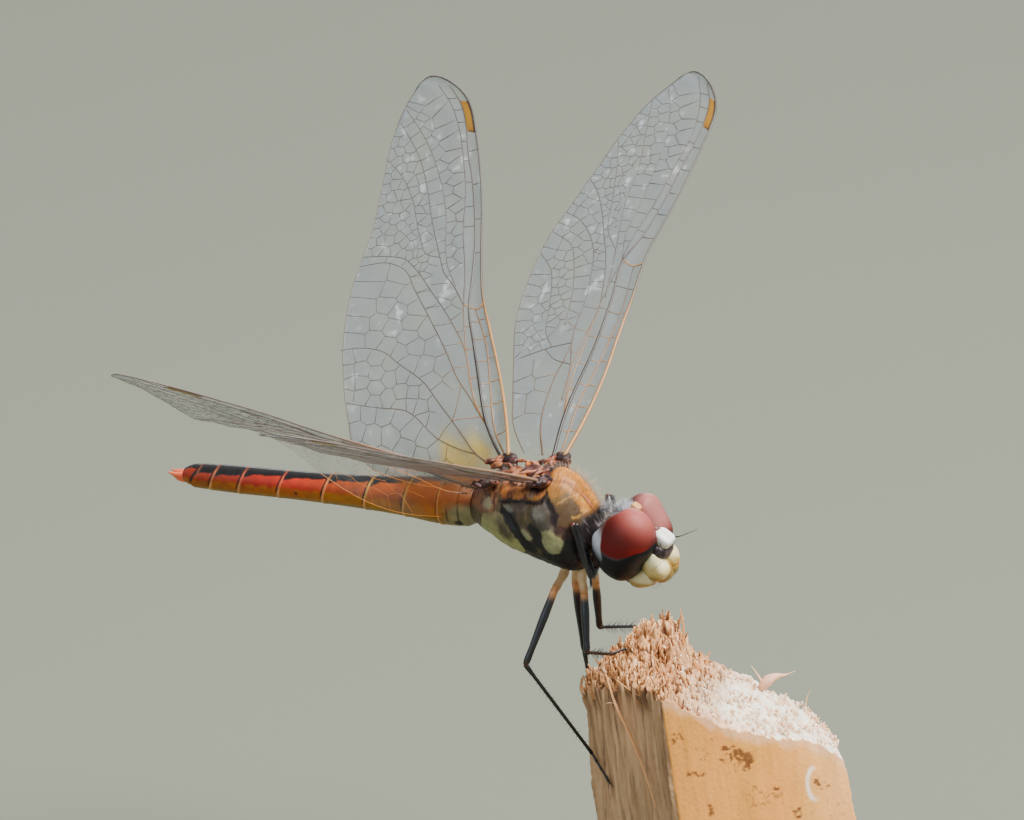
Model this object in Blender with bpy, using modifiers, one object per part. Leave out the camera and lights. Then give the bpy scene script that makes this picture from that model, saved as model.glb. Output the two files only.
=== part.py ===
"""A coastal glider dragonfly at rest on the broken end of a dry stem, life size.

The insect heads along +X with its left side towards +Y and +Z up. The stem and the
short rod under it stand on a flat round base, whose underside is centred on the
world origin. Lengths below are in millimetres and angles in degrees. Each sub-part
is one object with its own material.
"""

import math

import bmesh
import bpy
import numpy as np
from mathutils import Matrix, Vector

MM = 0.001
GAP = 0.06  # clearance between neighbouring solids

# Stand
BASE_RADIUS = 25.0
BASE_HEIGHT = 5.0
BASE_EDGE = 0.6
ROD_RADIUS = 2.5
ROD_HEIGHT = 6.5

# Middle of the four wing hinges, from which the insect is laid out
HINGE_CENTRE = Vector((-13.9, -7.55, 40.1))
BODY_ROLL = 11.5  # left side up
WING_PITCH = 7.0  # the line of hinges rises towards the head

# Thorax and neck: station along the body, top, underside, half width
THORAX = (
    (-3.90, -1.45, -4.35, 1.40),
    (-3.10, -0.85, -4.70, 2.10),
    (-2.00, -0.30, -5.05, 2.65),
    (-0.50, 0.00, -5.80, 3.05),
    (1.00, 0.35, -6.35, 3.25),
    (2.30, 0.75, -6.80, 3.30),
    (3.40, 0.70, -7.15, 3.25),
    (4.50, 0.00, -7.30, 2.95),
    (5.30, -1.15, -7.00, 2.35),
    (5.90, -2.45, -6.35, 1.65),
    (6.25, -3.30, -5.70, 1.05),
)
NECK = (
    (6.31, -3.70, -5.40, 0.75),
    (6.45, -3.45, -5.50, 0.90),
    (6.60, -3.70, -5.30, 0.70),
)
SHOULDER = 0.22  # how much narrower the thorax is above than below

# Head, in its own frame: ahead, left, up
HEAD_CENTRE = (9.1, 0.0, -4.3)
HEAD_PITCH = 18.0  # face turned down
EYE_ASIDE = 1.32
EYE_RADII = (2.35, 2.08, 2.85)
FACE = {  # place on the midline and radii
    "frons": ((2.25, 1.02), (0.90, 0.92, 0.64)),
    "clypeus": ((2.15, 0.08), (0.95, 1.20, 0.74)),
    "labrum": ((2.45, -1.25), (1.20, 1.45, 1.30)),
    "labium": ((1.20, -2.72), (1.55, 1.27, 0.92)),
    "head": ((-1.38, -0.15), (0.95, 1.95, 2.10)),
}
ANTENNA = ((2.62, 0.35, 1.75), (3.60, 0.75, 2.75))
ANTENNA_RADIUS = 0.25

# Abdomen: length, half width and half height at the front of each segment
ABDOMEN_START = (-3.98, 0.0, -3.2)
ABDOMEN_DROOP = 2.0
SEGMENTS = (
    (0.95, 1.45, 1.45),
    (2.15, 1.65, 1.78),
    (3.20, 1.70, 1.84),
    (3.45, 1.42, 1.52),
    (3.70, 1.24, 1.30),
    (3.90, 1.12, 1.16),
    (3.45, 1.06, 1.08),
    (2.50, 1.06, 1.06),
    (1.50, 1.00, 0.98),
    (0.70, 0.88, 0.84),
)
ABDOMEN_END = (0.66, 0.60)
TAIL = {  # aside, down, length
    "cercus_right": (-0.32, -0.12, 1.5),
    "cercus_left": (0.32, -0.12, 1.5),
    "epiproct": (0.0, 0.30, 1.2),
}
TAIL_RADII = (0.25, 0.24, 0.12)
TAIL_BEND = 0.6  # share of the length at which a tail piece starts to taper

# Wings: breadth ahead of and behind the hinge at fractions of the length
WING_THICKNESS = 0.5
WING_STATIONS = (0.00, 0.07, 0.14, 0.22, 0.32, 0.42, 0.52, 0.66, 0.80, 0.93, 1.00)
FORE_LENGTH = 37.4
FORE_LEAD = (0.20, 0.55, 0.75, 0.80, 0.60, 0.45, 0.22, 0.75, 1.10, 1.05, 0.50)
FORE_TRAIL = (-3.0, -4.9, -5.9, -6.9, -8.1, -8.5, -8.45, -7.35, -6.1, -4.6, -3.6)
HIND_LENGTH = 36.3
HIND_LEAD = (0.30, 0.35, 0.35, 0.25, 0.00, -0.20, 0.15, 0.80, 1.05, 0.85, 0.30)
HIND_TRAIL = (-4.2, -9.6, -12.0, -12.1, -11.8, -11.2, -10.2, -8.15, -6.55, -4.9, -3.9)
TIP_CHORD = -2.2
TIP_START = 0.86
TIP_ROUNDING = 2.2
TIP_SPREAD = (0.18, 0.98)  # quarter turn over which the tip's rings are spread
ROOT_SHARE = 0.004
HINGE_AHEAD = 2.26
HINGE_ASIDE = 2.14
WING_POSE = {  # sweep back, rise and twist (trailing edge down)
    "wing_fore_left": (-1.8, 28.0, -6.6),
    "wing_fore_right": (-1.2, 29.0, -6.5),
    "wing_hind_left": (27.0, 35.5, -4.3),
    "wing_hind_right": (19.8, 35.1, -6.0),
}
HIND_ROOT_TWIST = 40.0
HIND_ROOT_REACH = 2.6
HIND_MID_TWIST = -6.0  # the broad middle of a hindwing is twisted back, trailing edge up
HIND_MID_PLACE = 0.42
HIND_MID_WIDTH = 0.22

# Legs: hip, trochanter, knee, ankle and claw, level with the world, from the centre
LEGS = {
    "leg_fore_right": (
        (6.0, 0.3, -6.9), (6.3, -0.6, -7.2), (5.3, -1.9, -3.0), (6.7, -1.8, -6.5), (6.8, -1.7, -7.6),
    ),
    "leg_fore_left": (
        (6.0, 2.5, -6.3), (6.1, 3.4, -6.2), (4.3, 5.6, -2.6), (6.6, 4.6, -5.8), (6.8, 4.4, -6.9),
    ),
    "leg_mid_right": (
        (4.9, 0.4, -7.9), (5.2, 0.2, -8.9), (5.8, -0.5, -13.2), (5.5, 4.0, -14.45), (5.9, 5.5, -14.3),
    ),
    "leg_mid_left": (
        (4.6, 2.7, -7.4), (4.5, 3.3, -8.8), (3.5, 5.8, -13.0), (4.3, 9.9, -13.8), (4.9, 11.2, -15.0),
    ),
    "leg_hind_right": (
        (3.4, 0.4, -7.5), (3.3, -1.0, -8.6), (1.7, -2.6, -14.2), (5.0, 1.8, -21.7), (6.8, 1.3, -23.7),
    ),
    "leg_hind_left": (
        (3.2, 2.5, -7.0), (3.1, 2.7, -8.9), (2.0, 6.2, -15.1), (3.4, 6.2, -23.0), (3.9, 6.4, -25.2),
    ),
}
COXA_RADIUS = 0.55
TROCHANTER_RADIUS = 0.42
FEMUR_SWELL = 0.3  # share of the femur at which it is stoutest
FEMUR_RADII = (0.36, 0.30)
TIBIA_RADII = (0.27, 0.25)
TARSUS_RADII = (0.25, 0.25)
LEG_JOINT_GAP = 0.34  # left open beyond a joint, so that bent segments stay clear
FOLDED_SHIN_AHEAD = 0.62  # a folded foreleg's shin lies this far ahead of its femur

# Stem: its frame is turned about Z so that X runs across the broad split face
STEM_TURN = 28.5
STEM_FOOT = -28.6  # below the centre
STEM_MIDDLE = 15.77  # across, at the foot
STEM_LEAN = 0.17  # across for each millimetre up
STEM_SPREAD = 0.006  # growth in breadth for each millimetre down
STEM_LEFT = (-9.4, 0.0)
STEM_RIDGE = (-3.3, 7.0)
STEM_RIGHT = (9.4, 1.0)
STEM_BACK = 7.6
STEM_BOWS = (0.15, 0.9)  # outward bow of the left and right split faces
STEM_LEVEL = -20.0  # height at which the section has its stated breadth
STEM_SHARES = (0.0, 0.25, 0.5, 0.75, 1.0)
CUT_RINGS = (0.8, 0.55, 0.3)
CUT_FALL_POWER = 6
BOW_POWER = 0.8  # below 1 makes an arc squarer
CUT_HEIGHT = -17.1
CUT_SLOPE_ACROSS = -0.33
CUT_SLOPE_NEAR = -0.12
CUT_FALL_LEFT = 2.4
CUT_FALL_RIGHT = 2.0
PEAK = (-2.1, -5.0, 3.2, 2.3)  # across, near, height, breadth


def clear_scene():
    for item in list(bpy.data.objects):
        bpy.data.objects.remove(item, do_unlink=True)


def new_collection(name):
    group = bpy.data.collections.new(name)
    bpy.context.scene.collection.children.link(group)
    return group


def material(name, colour, roughness, metallic=0.0):
    made = bpy.data.materials.new(name)
    made.use_nodes = True
    shader = made.node_tree.nodes["Principled BSDF"]
    shader.inputs["Base Color"].default_value = (*colour, 1.0)
    shader.inputs["Roughness"].default_value = roughness
    shader.inputs["Metallic"].default_value = metallic
    made.diffuse_color = (*colour, 1.0)
    return made


def add_object(group, name, data, surface):
    made = bpy.data.objects.new(name, data)
    data.materials.append(surface)
    group.objects.link(made)
    return made


def mesh_from(name, points, faces):
    """A mesh of points in millimetres."""
    mesh = bpy.data.meshes.new(name)
    mesh.from_pydata([tuple(point) for point in np.asarray(points) * MM], [], faces)
    return mesh


def loft(name, rings):
    """A closed skin through rings of equal count, capped with a fan at each end."""
    rings = np.asarray(rings, float)
    count = rings.shape[1]
    points = list(rings.reshape(-1, 3))
    faces = []
    for ring in range(len(rings) - 1):
        for side in range(count):
            after = (side + 1) % count
            low, high = ring * count, (ring + 1) * count
            faces.append((low + side, low + after, high + after, high + side))
    for ring, forward in ((0, False), (len(rings) - 1, True)):
        middle = len(points)
        points.append(rings[ring].mean(axis=0))
        for side in range(count):
            after = (side + 1) % count
            start = ring * count
            pair = (start + side, start + after) if forward else (start + after, start + side)
            faces.append((*pair, middle))
    mesh = mesh_from(name, points, faces)
    shell = bmesh.new()
    shell.from_mesh(mesh)
    bmesh.ops.recalc_face_normals(shell, faces=shell.faces)
    shell.to_mesh(mesh)
    shell.free()
    mesh.shade_smooth()
    mesh.set_sharp_from_angle(angle=math.radians(40))
    return mesh


def tube(name, path, radii):
    """A tapering round tube along a path in millimetres, with filled caps."""
    curve = bpy.data.curves.new(name, "CURVE")
    curve.dimensions = "3D"
    curve.bevel_depth = MM
    curve.bevel_resolution = 1
    curve.use_fill_caps = True
    spline = curve.splines.new("POLY")
    spline.points.add(len(path) - 1)
    for point, place, radius in zip(spline.points, path, radii):
        point.co = (*(Vector(place) * MM), 1.0)
        point.radius = radius
    return curve


def body_frame():
    """From body axes (ahead, left, up) to the world, both in millimetres."""
    return Matrix.Translation(HINGE_CENTRE) @ Matrix.Rotation(math.radians(BODY_ROLL), 4, "X")


def head_frame():
    tilt = Matrix.Rotation(math.radians(HEAD_PITCH), 4, "Y")
    return body_frame() @ Matrix.Translation(Vector(HEAD_CENTRE)) @ tilt


def placed(frame, points):
    """Points in millimetres carried by a frame."""
    flat = np.asarray(points, float)
    turn = np.array(frame.to_3x3())
    return flat @ turn.T + np.array(frame.translation)


def between(stations, values, at):
    """A smooth curve through the values, by cubic pieces with averaged slopes."""
    stations = np.asarray(stations, float)
    values = np.asarray(values, float)
    slopes = np.gradient(values, stations)
    at = np.clip(np.asarray(at, float), stations[0], stations[-1])
    piece = np.clip(np.searchsorted(stations, at, side="right") - 1, 0, len(stations) - 2)
    width = stations[piece + 1] - stations[piece]
    t = (at - stations[piece]) / width
    rise = (2 * t**3 - 3 * t**2 + 1) * values[piece] + (3 * t**2 - 2 * t**3) * values[piece + 1]
    lean = (t**3 - 2 * t**2 + t) * slopes[piece] + (t**3 - t**2) * slopes[piece + 1]
    return rise + lean * width


def trunk_rings(stations, sides=20):
    """Egg-shaped rings across the body, narrower above by SHOULDER."""
    angle = np.linspace(0, math.tau, sides, endpoint=False)
    rings = []
    for ahead, top, under, half in stations:
        middle, height = (top + under) / 2, (top - under) / 2
        aside = half * np.cos(angle) * (1 - SHOULDER * np.sin(angle))
        up = middle + height * np.sin(angle)
        rings.append(np.stack([np.full(sides, ahead), aside, up], axis=1))
    return rings


def build_trunk(group, finish):
    for name, stations in (("thorax", THORAX), ("neck", NECK)):
        rings = [placed(body_frame(), ring) for ring in trunk_rings(stations)]
        add_object(group, name, loft(name, rings), finish[name])


def ellipsoid(radii, centre, segments=22, rings=14):
    """A bmesh ellipsoid in millimetres about a centre."""
    ball = bmesh.new()
    bmesh.ops.create_uvsphere(ball, u_segments=segments, v_segments=rings, radius=1.0)
    bmesh.ops.scale(ball, vec=Vector(radii), verts=ball.verts)
    bmesh.ops.translate(ball, vec=Vector(centre), verts=ball.verts)
    return ball


def finish_ball(ball, name):
    """The ellipsoid as a mesh in metres, in the head's frame."""
    bmesh.ops.scale(ball, vec=Vector((MM, MM, MM)), verts=ball.verts)
    mesh = bpy.data.meshes.new(name)
    ball.to_mesh(mesh)
    ball.free()
    mesh.shade_smooth()
    return mesh


def place_in_head(item):
    frame = head_frame()
    item.location = frame.translation * MM
    item.rotation_euler = frame.to_euler()


def cutter_ball(group, name, radii, centre):
    """A slightly larger copy of a head piece, which keeps its neighbour clear."""
    ball = ellipsoid([radius + GAP for radius in radii], centre)
    item = bpy.data.objects.new(name, finish_ball(ball, name))
    item.hide_render = True
    item.display_type = "WIRE"
    group.objects.link(item)
    place_in_head(item)
    return item


def cut(item, cutter):
    step = item.modifiers.new("Clear of " + cutter.name, "BOOLEAN")
    step.operation = "DIFFERENCE"
    step.solver = "EXACT"
    step.object = cutter


def build_head(group, cutters, finish):
    tools = []
    for name, side in (("eye_right", -1), ("eye_left", 1)):
        centre = (0.0, side * EYE_ASIDE, 0.0)
        ball = ellipsoid(EYE_RADII, centre)
        everything = ball.verts[:] + ball.edges[:] + ball.faces[:]
        seam = Vector((0.0, side * GAP / 2, 0.0))
        away = Vector((0.0, -side, 0.0))
        bmesh.ops.bisect_plane(ball, geom=everything, plane_co=seam, plane_no=away, clear_outer=True)
        bmesh.ops.holes_fill(ball, edges=[edge for edge in ball.edges if edge.is_boundary])
        place_in_head(add_object(group, name, finish_ball(ball, name), finish["eye"]))
        tools.append(cutter_ball(cutters, "around_" + name, EYE_RADII, centre))
    for name, ((ahead, up), radii) in FACE.items():
        centre = (ahead, 0.0, up)
        item = add_object(group, name, finish_ball(ellipsoid(radii, centre), name), finish[name])
        place_in_head(item)
        for tool in tools:
            cut(item, tool)
        tools.append(cutter_ball(cutters, "around_" + name, radii, centre))
    for name, side in (("antenna_right", -1), ("antenna_left", 1)):
        path = [(ahead, side * aside, up) for ahead, aside, up in ANTENNA]
        path = placed(head_frame(), path)
        add_object(group, name, tube(name, path, (ANTENNA_RADIUS, ANTENNA_RADIUS)), finish["antenna"])


def abdomen_frame():
    tilt = Matrix.Rotation(math.radians(180 - ABDOMEN_DROOP), 4, "Y")
    return body_frame() @ Matrix.Translation(Vector(ABDOMEN_START)) @ tilt


def build_abdomen(group, finish):
    """Segments one behind the other; X of the frame runs to the tail and Z down."""
    sides = 16
    angle = np.linspace(0, math.tau, sides, endpoint=False)
    start = 0.0
    for number, (length, half_width, half_height) in enumerate(SEGMENTS, 1):
        after = SEGMENTS[number][1:] if number < len(SEGMENTS) else ABDOMEN_END
        rings = []
        for share in (0.0, 0.5, 1.0):
            along = start + GAP / 2 + share * (length - GAP)
            wide = half_width + share * (after[0] - half_width)
            high = half_height + share * (after[1] - half_height)
            ring = np.stack([np.full(sides, along), wide * np.cos(angle), high * np.sin(angle)], axis=1)
            rings.append(placed(abdomen_frame(), ring))
        name = "abdomen_%d" % number
        add_object(group, name, loft(name, rings), finish["abdomen"])
        start += length
    root = start + GAP / 2
    for name, (aside, down, length) in TAIL.items():
        path = [(root + share * length, aside, down) for share in (0.0, TAIL_BEND, 1.0)]
        path = placed(abdomen_frame(), path)
        add_object(group, name, tube(name, path, TAIL_RADII), finish["cercus"])


def wing_edges(length, lead, trail, share):
    """Leading and trailing breadths at a share of the length, closed round at the tip."""
    past = np.clip((share - TIP_START) / (1 - TIP_START), 0, 1)
    close = np.sqrt(np.clip(1 - past**TIP_ROUNDING, 0, 1))
    ahead = TIP_CHORD + (between(WING_STATIONS, lead, share) - TIP_CHORD) * close
    behind = TIP_CHORD + (between(WING_STATIONS, trail, share) - TIP_CHORD) * close
    return ahead, behind


def wing_axes(side, sweep, rise):
    """Span, forward and upward unit vectors in the frame of the hinges."""
    sweep, rise = math.radians(sweep), math.radians(rise)
    span = Vector((-math.sin(sweep) * math.cos(rise), side * math.cos(sweep) * math.cos(rise), math.sin(rise)))
    ahead = Vector((1.0, 0.0, 0.0)) - span * span.x
    ahead.normalize()
    return span, ahead, span.cross(ahead) * -side


def hinge_frame():
    nose_up = Matrix.Rotation(math.radians(-WING_PITCH), 4, "Y")
    roll = Matrix.Rotation(math.radians(BODY_ROLL), 4, "X")
    return Matrix.Translation(HINGE_CENTRE) @ nose_up @ roll


def hind_twist(share):
    """Added twist of a hindwing: down at the root, a little up in the broad middle."""
    root = HIND_ROOT_TWIST * math.exp(-share * HIND_LENGTH / HIND_ROOT_REACH)
    middle = HIND_MID_TWIST * math.exp(-(((share - HIND_MID_PLACE) / HIND_MID_WIDTH) ** 2))
    return root + middle


def wing_rings(name):
    side = 1 if name.endswith("left") else -1
    fore = "fore" in name
    length = FORE_LENGTH if fore else HIND_LENGTH
    lead = FORE_LEAD if fore else HIND_LEAD
    trail = FORE_TRAIL if fore else HIND_TRAIL
    sweep, rise, twist = WING_POSE[name]
    span, ahead, upward = (np.array(axis) for axis in wing_axes(side, sweep, rise))
    hinge = np.array((HINGE_AHEAD if fore else -HINGE_AHEAD, side * HINGE_ASIDE, 0.0))
    blade = np.linspace(ROOT_SHARE, TIP_START, 15)
    tip = TIP_START + (1 - TIP_START) * np.sin(np.linspace(*TIP_SPREAD, 7) * math.pi / 2)
    shares = np.concatenate([blade, tip])
    half = WING_THICKNESS / 2
    rings = []
    for share in shares:
        front, back = wing_edges(length, lead, trail, share)
        along = share * length
        extra = 0.0 if fore else hind_twist(share)
        angle = math.radians(twist + extra)
        chord = math.cos(angle) * ahead + math.sin(angle) * upward
        normal = math.cos(angle) * upward - math.sin(angle) * ahead
        inset = min(half, (front - back) / 4)
        outline = (
            (front, 0.0),
            (front - inset, half),
            ((front + back) / 2, half),
            (back + inset, half),
            (back, 0.0),
            (back + inset, -half),
            ((front + back) / 2, -half),
            (front - inset, -half),
        )
        rings.append([hinge + along * span + across * chord + high * normal for across, high in outline])
    return [placed(hinge_frame(), ring) for ring in rings]


def build_wings(group, finish):
    for name in WING_POSE:
        add_object(group, name, loft(name, wing_rings(name)), finish["wing"])


def shortened(start, end, before, after):
    """The stretch between two joints, less a little at each end."""
    start, end = Vector(start), Vector(end)
    step = (end - start).normalized()
    return start + step * before, end - step * after


def build_legs(group, finish):
    for name, joints in LEGS.items():
        hip, trochanter, knee, ankle, claw = (HINGE_CENTRE + Vector(joint) for joint in joints)
        upper, lower = shortened(trochanter, knee, 0.0, LEG_JOINT_GAP / 2)
        path = (hip, trochanter, upper.lerp(lower, FEMUR_SWELL), lower)
        femur = tube(name + "_femur", path, (COXA_RADIUS, TROCHANTER_RADIUS, *FEMUR_RADII))
        add_object(group, name + "_femur", femur, finish["leg"])
        shin = knee + Vector((FOLDED_SHIN_AHEAD, 0.0, 0.0)) if "fore" in name else knee
        upper, lower = shortened(shin, ankle, LEG_JOINT_GAP, LEG_JOINT_GAP / 2)
        add_object(group, name + "_tibia", tube(name + "_tibia", (upper, lower), TIBIA_RADII), finish["leg"])
        upper, lower = shortened(ankle, claw, LEG_JOINT_GAP, 0.0)
        add_object(group, name + "_tarsus", tube(name + "_tarsus", (upper, lower), TARSUS_RADII), finish["leg"])


def arc_between(start, end, bulge, count):
    """Points from start towards end, bowed outward; the end itself is left out."""
    start, end = np.array(start), np.array(end)
    along = (end - start) / np.linalg.norm(end - start)
    outward = np.array((-along[1], along[0]))
    share = np.arange(count) / count
    bow = bulge * np.sin(math.pi * share) ** BOW_POWER
    return start + share[:, None] * (end - start) + bow[:, None] * outward


def stem_outline():
    """The stem's section: two flat split faces that meet at a ridge, and a round back."""
    left = arc_between(STEM_LEFT, STEM_RIDGE, STEM_BOWS[0], 7)
    right = arc_between(STEM_RIDGE, STEM_RIGHT, STEM_BOWS[1], 11)
    back = arc_between(STEM_RIGHT, STEM_LEFT, STEM_BACK, 16)
    return np.concatenate([left, right, back])


def cut_height(across, near):
    """Height of the broken end over a place in the section."""
    fall = np.where(across < 0, CUT_FALL_LEFT, CUT_FALL_RIGHT) * (across / STEM_RIGHT[0]) ** CUT_FALL_POWER
    peak = PEAK[2] * np.exp(-((across - PEAK[0]) ** 2 + (near - PEAK[1]) ** 2) / PEAK[3] ** 2)
    return CUT_HEIGHT + CUT_SLOPE_ACROSS * across + CUT_SLOPE_NEAR * near - fall + peak


def stem_point(across, near, height):
    """A place in the leaning stem to the world; near runs towards -Y, turned by STEM_TURN."""
    middle = STEM_MIDDLE - STEM_LEAN * (height - STEM_FOOT)
    spread = 1 + STEM_SPREAD * (STEM_LEVEL - height)
    turn = math.radians(STEM_TURN)
    shift = middle + across * spread
    out = near * spread
    x = shift * math.cos(turn) + out * math.sin(turn)
    y = shift * math.sin(turn) - out * math.cos(turn)
    return np.stack([x, y, height], axis=1) + np.array(HINGE_CENTRE)


def build_stem(group, finish):
    outline = stem_outline()
    across, near = outline[:, 0], outline[:, 1]
    top = cut_height(across, near)
    rings = []
    for share in STEM_SHARES:
        height = STEM_FOOT + share * (top - STEM_FOOT)
        rings.append(stem_point(across, near, height))
    for shrink in CUT_RINGS:
        rings.append(stem_point(across * shrink, near * shrink, cut_height(across * shrink, near * shrink)))
    add_object(group, "stem", loft("stem", rings), finish["stem"])


def disc(name, radius, height, segments):
    """A cylinder primitive in millimetres that stands on its own origin."""
    shell = bmesh.new()
    bmesh.ops.create_cone(
        shell, cap_ends=True, segments=segments, radius1=radius * MM, radius2=radius * MM, depth=height * MM
    )
    bmesh.ops.translate(shell, vec=Vector((0.0, 0.0, height * MM / 2)), verts=shell.verts)
    mesh = bpy.data.meshes.new(name)
    shell.to_mesh(mesh)
    shell.free()
    mesh.shade_smooth()
    mesh.set_sharp_from_angle(angle=math.radians(35))
    return mesh


def build_stand(group, finish):
    base = add_object(group, "stand_base", disc("stand_base", BASE_RADIUS, BASE_HEIGHT, 72), finish["stand"])
    edge = base.modifiers.new("Eased edge", "BEVEL")
    edge.width = BASE_EDGE * MM
    edge.segments = 2
    edge.limit_method = "ANGLE"
    rod = add_object(group, "stand_rod", disc("stand_rod", ROD_RADIUS, ROD_HEIGHT - GAP, 24), finish["rod"])
    rod.location = (0.0, 0.0, (BASE_HEIGHT + GAP / 2) * MM)


def finishes():
    return {
        "stand": material("stand_black", (0.03, 0.03, 0.032), 0.45),
        "rod": material("rod_steel", (0.55, 0.55, 0.56), 0.3, 1.0),
        "stem": material("dry_stem", (0.62, 0.42, 0.2), 0.75),
        "thorax": material("thorax_olive", (0.36, 0.26, 0.08), 0.5),
        "neck": material("neck_black", (0.03, 0.025, 0.025), 0.6),
        "eye": material("eye_red", (0.28, 0.03, 0.025), 0.3),
        "head": material("head_pale", (0.55, 0.55, 0.45), 0.5),
        "frons": material("face_white", (0.8, 0.78, 0.62), 0.4),
        "clypeus": material("face_cream", (0.8, 0.72, 0.45), 0.4),
        "labrum": material("face_gold", (0.75, 0.55, 0.22), 0.4),
        "labium": material("face_brown", (0.35, 0.2, 0.08), 0.5),
        "antenna": material("antenna_black", (0.02, 0.02, 0.02), 0.5),
        "abdomen": material("abdomen_orange", (0.6, 0.22, 0.04), 0.4),
        "cercus": material("cercus_red", (0.6, 0.14, 0.06), 0.4),
        "wing": material("wing_clear", (0.75, 0.75, 0.72), 0.15),
        "leg": material("leg_black", (0.02, 0.02, 0.025), 0.4),
    }


def main():
    clear_scene()
    parts = new_collection("Coastal glider dragonfly")
    cutters = new_collection("Cutters")
    finish = finishes()
    build_stand(parts, finish)
    build_stem(parts, finish)
    build_trunk(parts, finish)
    build_head(parts, cutters, finish)
    build_abdomen(parts, finish)
    build_wings(parts, finish)
    build_legs(parts, finish)


main()
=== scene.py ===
"""The looks of a life-size coastal glider dragonfly on a dry stem and a small stand.

Lengths in the functions are millimetres and angles are degrees. A mesh becomes metres
when it is made. The body's frame runs ahead, left and up from the middle of the four
wing hinges; the head, the abdomen and the wings have frames of their own in it.
"""

import math

import bpy
import numpy as np
from bpy.props import FloatProperty, FloatVectorProperty, PointerProperty
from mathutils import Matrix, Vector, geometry


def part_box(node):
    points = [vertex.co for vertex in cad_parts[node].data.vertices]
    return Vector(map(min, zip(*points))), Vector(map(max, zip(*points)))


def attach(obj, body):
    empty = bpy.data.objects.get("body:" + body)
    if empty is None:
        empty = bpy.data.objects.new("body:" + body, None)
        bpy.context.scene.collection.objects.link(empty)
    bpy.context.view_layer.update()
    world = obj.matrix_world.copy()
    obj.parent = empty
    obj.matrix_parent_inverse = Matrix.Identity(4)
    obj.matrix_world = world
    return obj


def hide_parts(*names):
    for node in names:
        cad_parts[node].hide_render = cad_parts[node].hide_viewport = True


bl_info = {
    "name": "Coastal Glider Dragonfly",
    "version": (1, 0, 0),
    "blender": (4, 5, 0),
    "location": "View3D > Sidebar > Dragonfly",
    "description": "Finishes a life-size coastal glider dragonfly, its stem and its stand",
    "category": "Mesh",
}

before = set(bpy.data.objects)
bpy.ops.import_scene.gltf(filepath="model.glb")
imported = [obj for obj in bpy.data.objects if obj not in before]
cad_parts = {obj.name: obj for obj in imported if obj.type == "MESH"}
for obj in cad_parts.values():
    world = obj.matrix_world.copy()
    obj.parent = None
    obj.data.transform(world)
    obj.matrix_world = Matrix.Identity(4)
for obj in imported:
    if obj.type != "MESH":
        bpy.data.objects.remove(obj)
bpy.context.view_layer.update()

MM = 0.001
TAU = math.tau
HINGE_CENTRE = np.array((-13.9, -7.55, 40.1))
BODY_ROLL = 11.5
WING_PITCH = 7.0
HEAD_CENTRE = np.array((9.1, 0.0, -4.3))
HEAD_PITCH = 18.0
ABDOMEN_START = np.array((-3.98, 0.0, -3.2))
ABDOMEN_DROOP = 2.0

TINT_POWER = 1.4  # tints are raised to this power, which deepens them

# Colours
BLACK = (0.02, 0.018, 0.02)


def distance(x, y, path):
    """The distance from each place to the nearest stretch of a path."""
    near = np.full(np.shape(x), 1e9)
    for (x0, y0), (x1, y1) in zip(path[:-1], path[1:]):
        dx, dy = x1 - x0, y1 - y0
        t = np.clip(((x - x0) * dx + (y - y0) * dy) / (dx * dx + dy * dy + 1e-12), 0, 1)
        near = np.minimum(near, np.hypot(x - x0 - t * dx, y - y0 - t * dy))
    return near


# ---------------------------------------------------------------- frames and curves


def turn(axis, degrees):
    """The rotation matrix about X, Y or Z: cosine and sine in the other two axes."""
    first, second = {"X": (1, 2), "Y": (2, 0), "Z": (0, 1)}[axis]
    angle = math.radians(degrees)
    made = np.eye(3)
    made[first, first] = made[second, second] = math.cos(angle)
    made[first, second] = -math.sin(angle)
    made[second, first] = math.sin(angle)
    return made


def in_body(points):
    """The body's own axes to the world: rolled about X, then carried to the hinges' middle."""
    return points @ turn("X", BODY_ROLL).T + HINGE_CENTRE


def in_head(points):
    """The head's axes to the world: pitched about Y, then placed in front of the body."""
    return in_body(points @ turn("Y", HEAD_PITCH).T + HEAD_CENTRE)


def in_abdomen(points):
    """X runs to the tail and Z down."""
    return in_body(points @ turn("Y", 180 - ABDOMEN_DROOP).T + ABDOMEN_START)


def in_wings(points):
    """The wings' axes to the world: rolled, then pitched, then carried to the hinges' middle."""
    return points @ (turn("Y", -WING_PITCH) @ turn("X", BODY_ROLL)).T + HINGE_CENTRE


def between(stations, values, at):
    """A cubic Hermite curve through the values, its slopes averaged at each station."""
    stations = np.asarray(stations, float)
    values = np.asarray(values, float)
    slopes = np.gradient(values, stations)
    at = np.clip(np.asarray(at, float), stations[0], stations[-1])
    piece = np.clip(np.searchsorted(stations, at, side="right") - 1, 0, len(stations) - 2)
    width = stations[piece + 1] - stations[piece]
    t = (at - stations[piece]) / width
    rise = (2 * t**3 - 3 * t**2 + 1) * values[piece] + (3 * t**2 - 2 * t**3) * values[piece + 1]
    lean = (t**3 - 2 * t**2 + t) * slopes[piece] + (t**3 - t**2) * slopes[piece + 1]
    return rise + lean * width


def curve(points, count):
    """Points evenly spread by length along a smooth curve through the given ones."""
    points = np.asarray(points, float)
    steps = np.linalg.norm(np.diff(points, axis=0), axis=1)
    reach = np.concatenate([[0.0], np.cumsum(steps)])
    at = np.linspace(0, reach[-1], count)
    return np.stack([between(reach, points[:, k], at) for k in range(points.shape[1])], axis=1)


def unit(vectors):
    """Each vector divided by its length."""
    return vectors / np.maximum(np.linalg.norm(vectors, axis=-1, keepdims=True), 1e-12)


def eased(low, high, value):
    """0 below low and 1 above high, with a smooth cubic between."""
    t = np.clip((np.asarray(value, float) - low) / (high - low), 0, 1)
    return t * t * (3 - 2 * t)


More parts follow.
